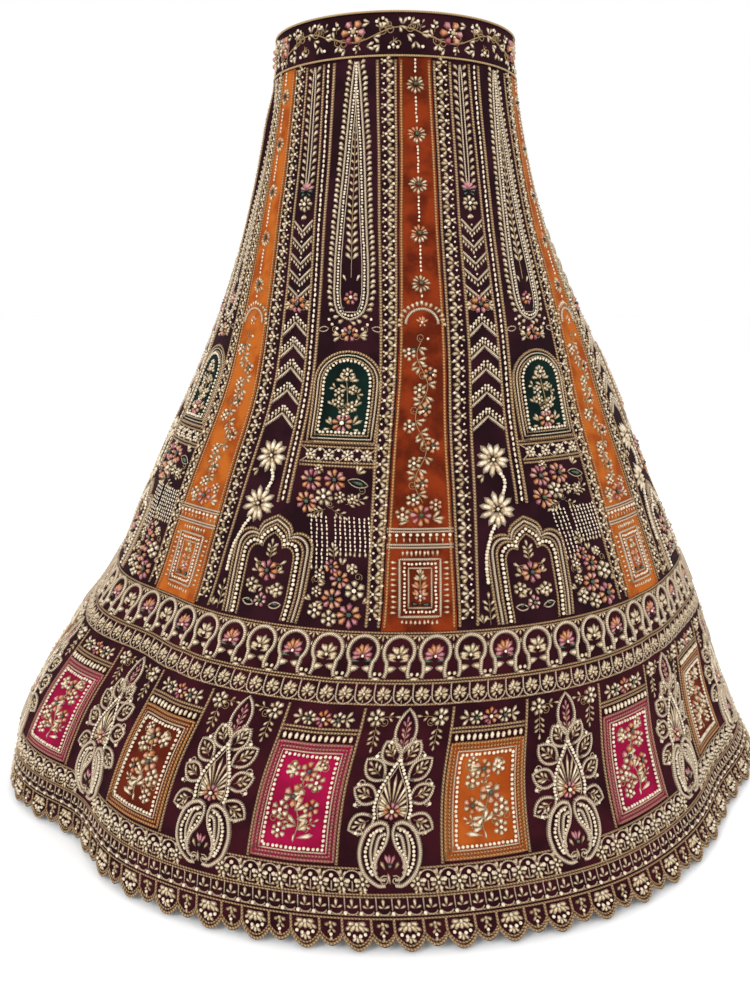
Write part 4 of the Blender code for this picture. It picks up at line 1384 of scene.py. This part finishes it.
# The branch on a patch, mirrored on every other one. Flowers: right, up, radius, whether of rose silk.
# Leaves: right, up, direction. Curls: right, up, direction, hand.
BRANCH_FLOWERS = ((3, 62, 9, True), (-14, 62, 7.5, False), (14, 52, 8, False), (-6, 40, 10.5, True),
                  (-18, 26, 9, False), (14, 30, 8, True), (-17, 8, 7.5, False), (15, 68, 6, False))
BRANCH_LEAVES = ((2, 10, 20), (2, 14, 150), (-3, 26, 30), (0, 20, -10), (3, 44, 200), (6, 62, 25),
                 (-8, 60, 150))
BRANCH_CURLS = ((12, 8, 20, 1), (-12, 10, 160, -1), (18, 44, 60, 1), (-18, 64, 130, -1), (16, 68, 40, -1),
                (-20, 20, 120, 1))
BRANCH_RISE = 1.13
ground = patch_foot + 19
for k, chain in enumerate(("peach_chain", "rose_chain")):
    framed = {}
    cord(framed, chain, fitted(1.2), 4.0, closed=True, height=1.3, tone=0.55 + 0.1 * k)
    cord(framed, chain, fitted(5.4), 4.0, closed=True, height=1.3, tone=0.35 + 0.1 * k)
    cord(framed, "silver_cord", fitted(9.0), 2.4, closed=True, tone=0.6)
    string(framed, shut(fitted(12.6)), 4.7, 2.0)
    flip = 1 if k else -1
    stem = smooth([(0, ground), (3 * flip, ground + 20), (-4 * flip, ground + 43), (3 * flip, ground + 70)])
    cord(framed, "gold_cord", stem, 1.8)
    for x, y, radius, of_silk in BRANCH_FLOWERS:
        flower(framed, x * flip, ground + BRANCH_RISE * y, 1.18 * radius, 6,
               *(((0.9, 0.7, 0.6), TWO_ROSE_ONE_SILVER, "green") if of_silk else ((0.8, 0.55),)))
    for x, y, turn in BRANCH_LEAVES:
        lean = turn if flip == 1 else 180 - turn
        spray(framed, x * flip, ground + BRANCH_RISE * y, (lean, lean + 34), 14, 6.8, 0.7)
    for x, y, turn, hand in BRANCH_CURLS:
        lean = turn if flip == 1 else 180 - turn
        curl(framed, x * flip, ground + BRANCH_RISE * y, lean, 4.6, hand * flip, 1.4)
    draw(framed, 0, ground, (
        (spray, 3 * flip, 3, (90 - 78 * flip,), 18, 7.0, 0.9),
        (sprig, -4 * flip, 18, 90 + 60 * flip, 11, 2, 8),
        (sprig, 8 * flip, 14, 90 - 60 * flip, 11, 2, 8),
        (sprig, 2 * flip, 50, 90 + 10 * flip, 14, 2, 7),
        (lay, 0, -2, 90, 10, 3, 1.6, 0.8, "silver_leaf", "leaf"),
    ))
    sew(on_border, framed, patch_centres[k::2], base=SKIN_LIFT + SKIN_WALL)

over = {}
edge_drops = np.linspace(0.7065, 0.850, 12)
edge_x = PATCH_HALF * unit_width(edge_drops) * 1000 + 2.4
for side in (-1, 1):
    cord(over, "gold_chain", np.stack([side * edge_x, down(edge_drops)], axis=1), 4.0, height=1.3)
for level in (0.7275, 0.7310):
    cord(over, "gold_chain", [(-edge_x[0], down(level)), (edge_x[0], down(level))], 3.4, height=1.2)
box = down(0.7185)
flower(over, 0, box, 9.5, 8, (0.85, 0.95, 0.3, 0.15, 0.2), ROSE)
for side in (-1, 1):
    flower(over, 16 * side, box, 8.5, 7, (0.8, 0.5), centre="green")
    spray(over, 24 * side, box, (90 - 90 * side, 90 - 140 * side, 90 - 40 * side), 10.5, 5.4, 0.7)
for x in np.linspace(-36, 36, 12):
    bead(over, x, down(0.7362), 2.3, "silver_leaf", 0.85, 1.7, 90)
sew(on_border, over, patch_centres)

trefoil = {}
middle = down(0.8640)
cord(trefoil, "silver_cord", arc(0, middle + 1, 9.5, 180, 0, 11), 2.0, tone=0.4)
for x, y in ((0, 5.5), (-4.2, 1), (4.2, 1)):
    bead(trefoil, x, middle + y, 2.5)
cord(trefoil, "silver_cord", [(0, middle), (0, middle - 11)], 2.0)
spray(trefoil, 0, middle - 11, (30, 150), 7, 4.2)
floret = {}
flower(floret, 0, middle - 3, 8.5, 7, (0.8, 0.55))
spray(floret, 0, middle + 4, (90, 50, 130), 8, 4.0, 0.65)
spray(floret, 0, middle - 8, (-55, -125), 6.5, 4.0)
TREFOIL_STEP = 0.052
sew(on_border, trefoil, (patch_centres[:, None] + TREFOIL_STEP * np.arange(-3, 4)).ravel())
sew(on_border, floret, (patch_centres[:, None] + TREFOIL_STEP * (np.arange(-4, 4) + 0.5)).ravel())
BELLS = 208
bell = {}
middle = down(0.8875)
cord(bell, "silver_cord", [(0, middle + 10.5), (0, middle - 4)], 1.8, tone=0.4)
bead(bell, 0, middle - 6.5, 2.4)
lay(bell, 7.6, middle - 2, 90, 10.5, 5.0, 2.2, 0.65)
spray(bell, 7.6, middle - 2.5, (25, 155), 7.0, 4.0, 0.65)
cord(bell, "silver_cord", arc(7.6, middle - 4, 6.4, 195, 345, 7, 0.75), 1.9, tone=0.4)
sew(on_border, bell, np.arange(BELLS) * UNITS / BELLS)
for centre in patch_centres:
    u = centre + np.linspace(-0.175, 0.175, 36)
    couch(on_border, "gold_chain", u, np.full(len(u), 0.8525), 2.8, 1.1, padded=True)
for level in (0.8765, 0.8790, BORDER_END - 0.0018):
    ring(on_border, level, 2.6, 1.1)
sewn_pieces("border", on_border)

# Needlework on the scalloped hem
# A heavy double chain follows the scallops, a chain runs up from each notch, and each scallop holds a
# small pendant of petals and pearls.
on_hem = {}
u = np.linspace(-4, 4, 1792, endpoint=False)
inside = 0.0021 + 0.0004 * np.cos(2 * math.pi * u / SCALLOP_PAIR)
couch(on_hem, "gold_chain", u, hem_edge(u) - inside, 4.0, 1.5, closed=True)
couch(on_hem, "gold_chain", u, hem_edge(u) - 0.0055, 2.8, 1.2, closed=True, tone=0.4)
ring(on_hem, BORDER_END + 0.0018, 2.6, 1.1)
scallop_pairs = np.arange(-4, 4, SCALLOP_PAIR)
notch_drops = np.linspace(BORDER_END + 0.002, SCALLOP_NOTCH - 0.003, 8)
for start in scallop_pairs:
    for at in (start, start + SCALLOP_WIDE * SCALLOP_PAIR):
        couch(on_hem, "gold_chain", np.full(8, at), notch_drops, 3.8, 1.3)
wide = {}
top = down(0.9035)
for turn in (-10, -50, -90, -130, -170):
    lay(wide, 0, top, turn, 10.5, 6.6, 2.6, 0.65)
bead(wide, 0, top, 2.3)
for side in (-1, 1):
    spray(wide, 5 * side, top - 2, (-90 + 50 * side, -90 + 10 * side), 9, 5.2)
    bead(wide, 8.5 * side, top - 10.5, 2.1)
    bead(wide, 3.2 * side, top - 12.5, 2.2)
spray(wide, 0, top - 13, (-90, -48, -132), 8.5, 5.0, 0.8)
sew(on_hem, wide, scallop_pairs + SCALLOP_WIDE * SCALLOP_PAIR / 2)
narrow = {}
for turn in (-30, -90, -150):
    lay(narrow, 0, top, turn, 8.0, 5.6, 2.2, 0.35)
draw(narrow, 0, top, (
    (bead, 0, 0, 2.0, "silver_leaf", 0.4),
    (spray, 0, -6, (-50, -130), 7.5, 4.4, 0.4),
    (bead, 0, -12, 2.0),
    (spray, 0, -13, (-90,), 6.5, 4.6, 0.6),
))
sew(on_hem, narrow, scallop_pairs + (1 + SCALLOP_WIDE) * SCALLOP_PAIR / 2)
sewn_pieces("hem", on_hem)

# Needlework on the waistband
# A gold vine with curls, pearl buds and leaves waves along the band, with a six-petal flower in silk
# and peach tones in each wave.
WAVES = 12
WAVE_LENGTH = 113.4
FIRST_WAVE = 0.415
# Curls: right, up, direction, hand. Leaves and sprigs: right, up, direction. Buds: right, up.
WAVE_CURLS = ((2, 2, -60, 1), (10, 6, 80, -1), (20, 9, -110, -1), (34, 9, -100, 1), (46, 5, 30, 1),
              (-46, -7, 70, -1), (-14, -4, -120, -1), (24, -5, 190, 1), (-50, -2, -150, 1))
WAVE_LEAVES = ((6, 6, 60), (15, 11, 120), (26, 10, -70), (30, 11, 60), (40, 12, 20), (-4, -3, -40),
               (-46, -10, -120), (-52, -3, 100), (36, 0, -60), (46, -8, -110), (4, -12, 200), (-12, -14, -20),
               (-38, -15, 190), (52, 2, -30), (-8, 14, 150))
WAVE_BUDS = ((20, -13), (15, -16), (25, -16), (-48, 14), (-52, 10), (38, 18), (0, 15), (8, 18), (48, 15),
             (-26, -17), (54, -15))
WAVE_SPRIGS = ((20, -3, -90), (-50, 4, 90), (4, 4, 100), (50, 4, 70), (-20, -8, -110))
wave = {}
middle = down(-BAND / 2)
x = np.linspace(-WAVE_LENGTH / 2, WAVE_LENGTH / 2, 37)
y = middle + 8.5 * np.sin(2 * math.pi * x / WAVE_LENGTH)
cord(wave, "gold_cord", np.stack([x, y], axis=1), 2.0, tone=0.6)
flower(wave, -28, middle + 4, 16, 6, (0.85, 0.2, 0.8, 0.1, 0.9, 0.3), ROSE, "silver_leaf", 60, 1.15)
for turn in range(0, 360, 60):
    bead(wave, *turned(-28, middle + 4, turn, 4.6), 1.7)
for x, y, turn, hand in WAVE_CURLS:
    curl(wave, x, middle + y, turn, 5.8, hand, 1.6)
for x, y, turn in WAVE_LEAVES:
    spray(wave, x, middle + y, (turn, turn + 50), 10.5, 5.2, 0.75)
for x, y in WAVE_BUDS:
    bead(wave, x, middle + y, 2.2)
for x, y, turn in WAVE_SPRIGS:
    sprig(wave, x, middle + y, turn, 9, 1, 7)
on_band = {}
sew(on_band, wave, np.arange(WAVES) * UNITS / WAVES - 4 + FIRST_WAVE)
sewn_pieces("waistband", on_band)

# Pipings
# A thin twisted gold cord is sewn along each edge of the band. It runs from one side of the back
# opening round the waist to the other side.
PIPING_RADIUS = 0.0012
PIPING_SIDES = 8
PIPING_STEPS = 360
PIPING_STEP_MM = 2.56
for name, level in (("top", -BAND + PIPING_RADIUS), ("bottom", -PIPING_RADIUS - SEAM_GAP)):
    along = np.linspace(OPENING + 0.002, OPENING + UNITS - 0.002, PIPING_STEPS)
    turns = 2 * math.pi * np.arange(PIPING_SIDES) / PIPING_SIDES
    lift = PIPING_RADIUS * (1 + np.cos(turns)) + SKIN_LIFT
    rings = place(along[:, None], level + PIPING_RADIUS * np.sin(turns), lift).reshape(-1, 3)
    start = PIPING_SIDES * np.arange(PIPING_STEPS - 1)[:, None]
    near = start + np.arange(PIPING_SIDES)
    beside = start + (np.arange(PIPING_SIDES) + 1) % PIPING_SIDES
    last = PIPING_SIDES * (PIPING_STEPS - 1)
    cap = np.arange(1, PIPING_SIDES - 1)
    triangles = np.concatenate([np.stack(corners, axis=-1).reshape(-1, 3) for corners in (
        (near, beside, beside + PIPING_SIDES), (near, beside + PIPING_SIDES, near + PIPING_SIDES),
        (0 * cap, cap + 1, cap), (last + 0 * cap, last + cap, last + cap + 1))])
    across = np.abs(np.linspace(-1, 1, PIPING_SIDES + 1)[:-1]) * 2
    trace = np.stack([np.repeat(np.arange(PIPING_STEPS) * PIPING_STEP_MM, PIPING_SIDES),
                      np.tile(across, PIPING_STEPS)], axis=1)
    tone = np.full(len(rings), 0.65)
    sewn_pieces(f"waist_piping_{name}_twist", {"gold_cord": [(rings, triangles, trace, tone)]})
    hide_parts(f"waist_piping_{name}")

# Hooks and bars
# Two hooks and their bars are bent from pressed brass and sewn inside the ends of the band. Fine
# scratches shift the yellow metal's colour a little.
brass, tree, shader = new_material("pressed_brass", {"Metallic": 1.0, "Roughness": 0.33})
place_on = add_node(tree, "TexCoord").outputs["Object"]
scratches = add_node(tree, "TexNoise", {"Vector": place_on, "Scale": 900.0, "Detail": 3.0})
shade = add_node(tree, "Mix", {0: scratches.outputs["Fac"], 6: linear("#8a6a34"), 7: linear("#c9a45c")},
                 data_type="RGBA")
tree.links.new(shade.outputs[2], shader.inputs["Base Color"])
for name in ("waist_hook_1", "waist_hook_2", "waist_hook_bar_1", "waist_hook_bar_2"):
    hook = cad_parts[name]
    hook.data.materials.clear()
    hook.data.materials.append(brass)
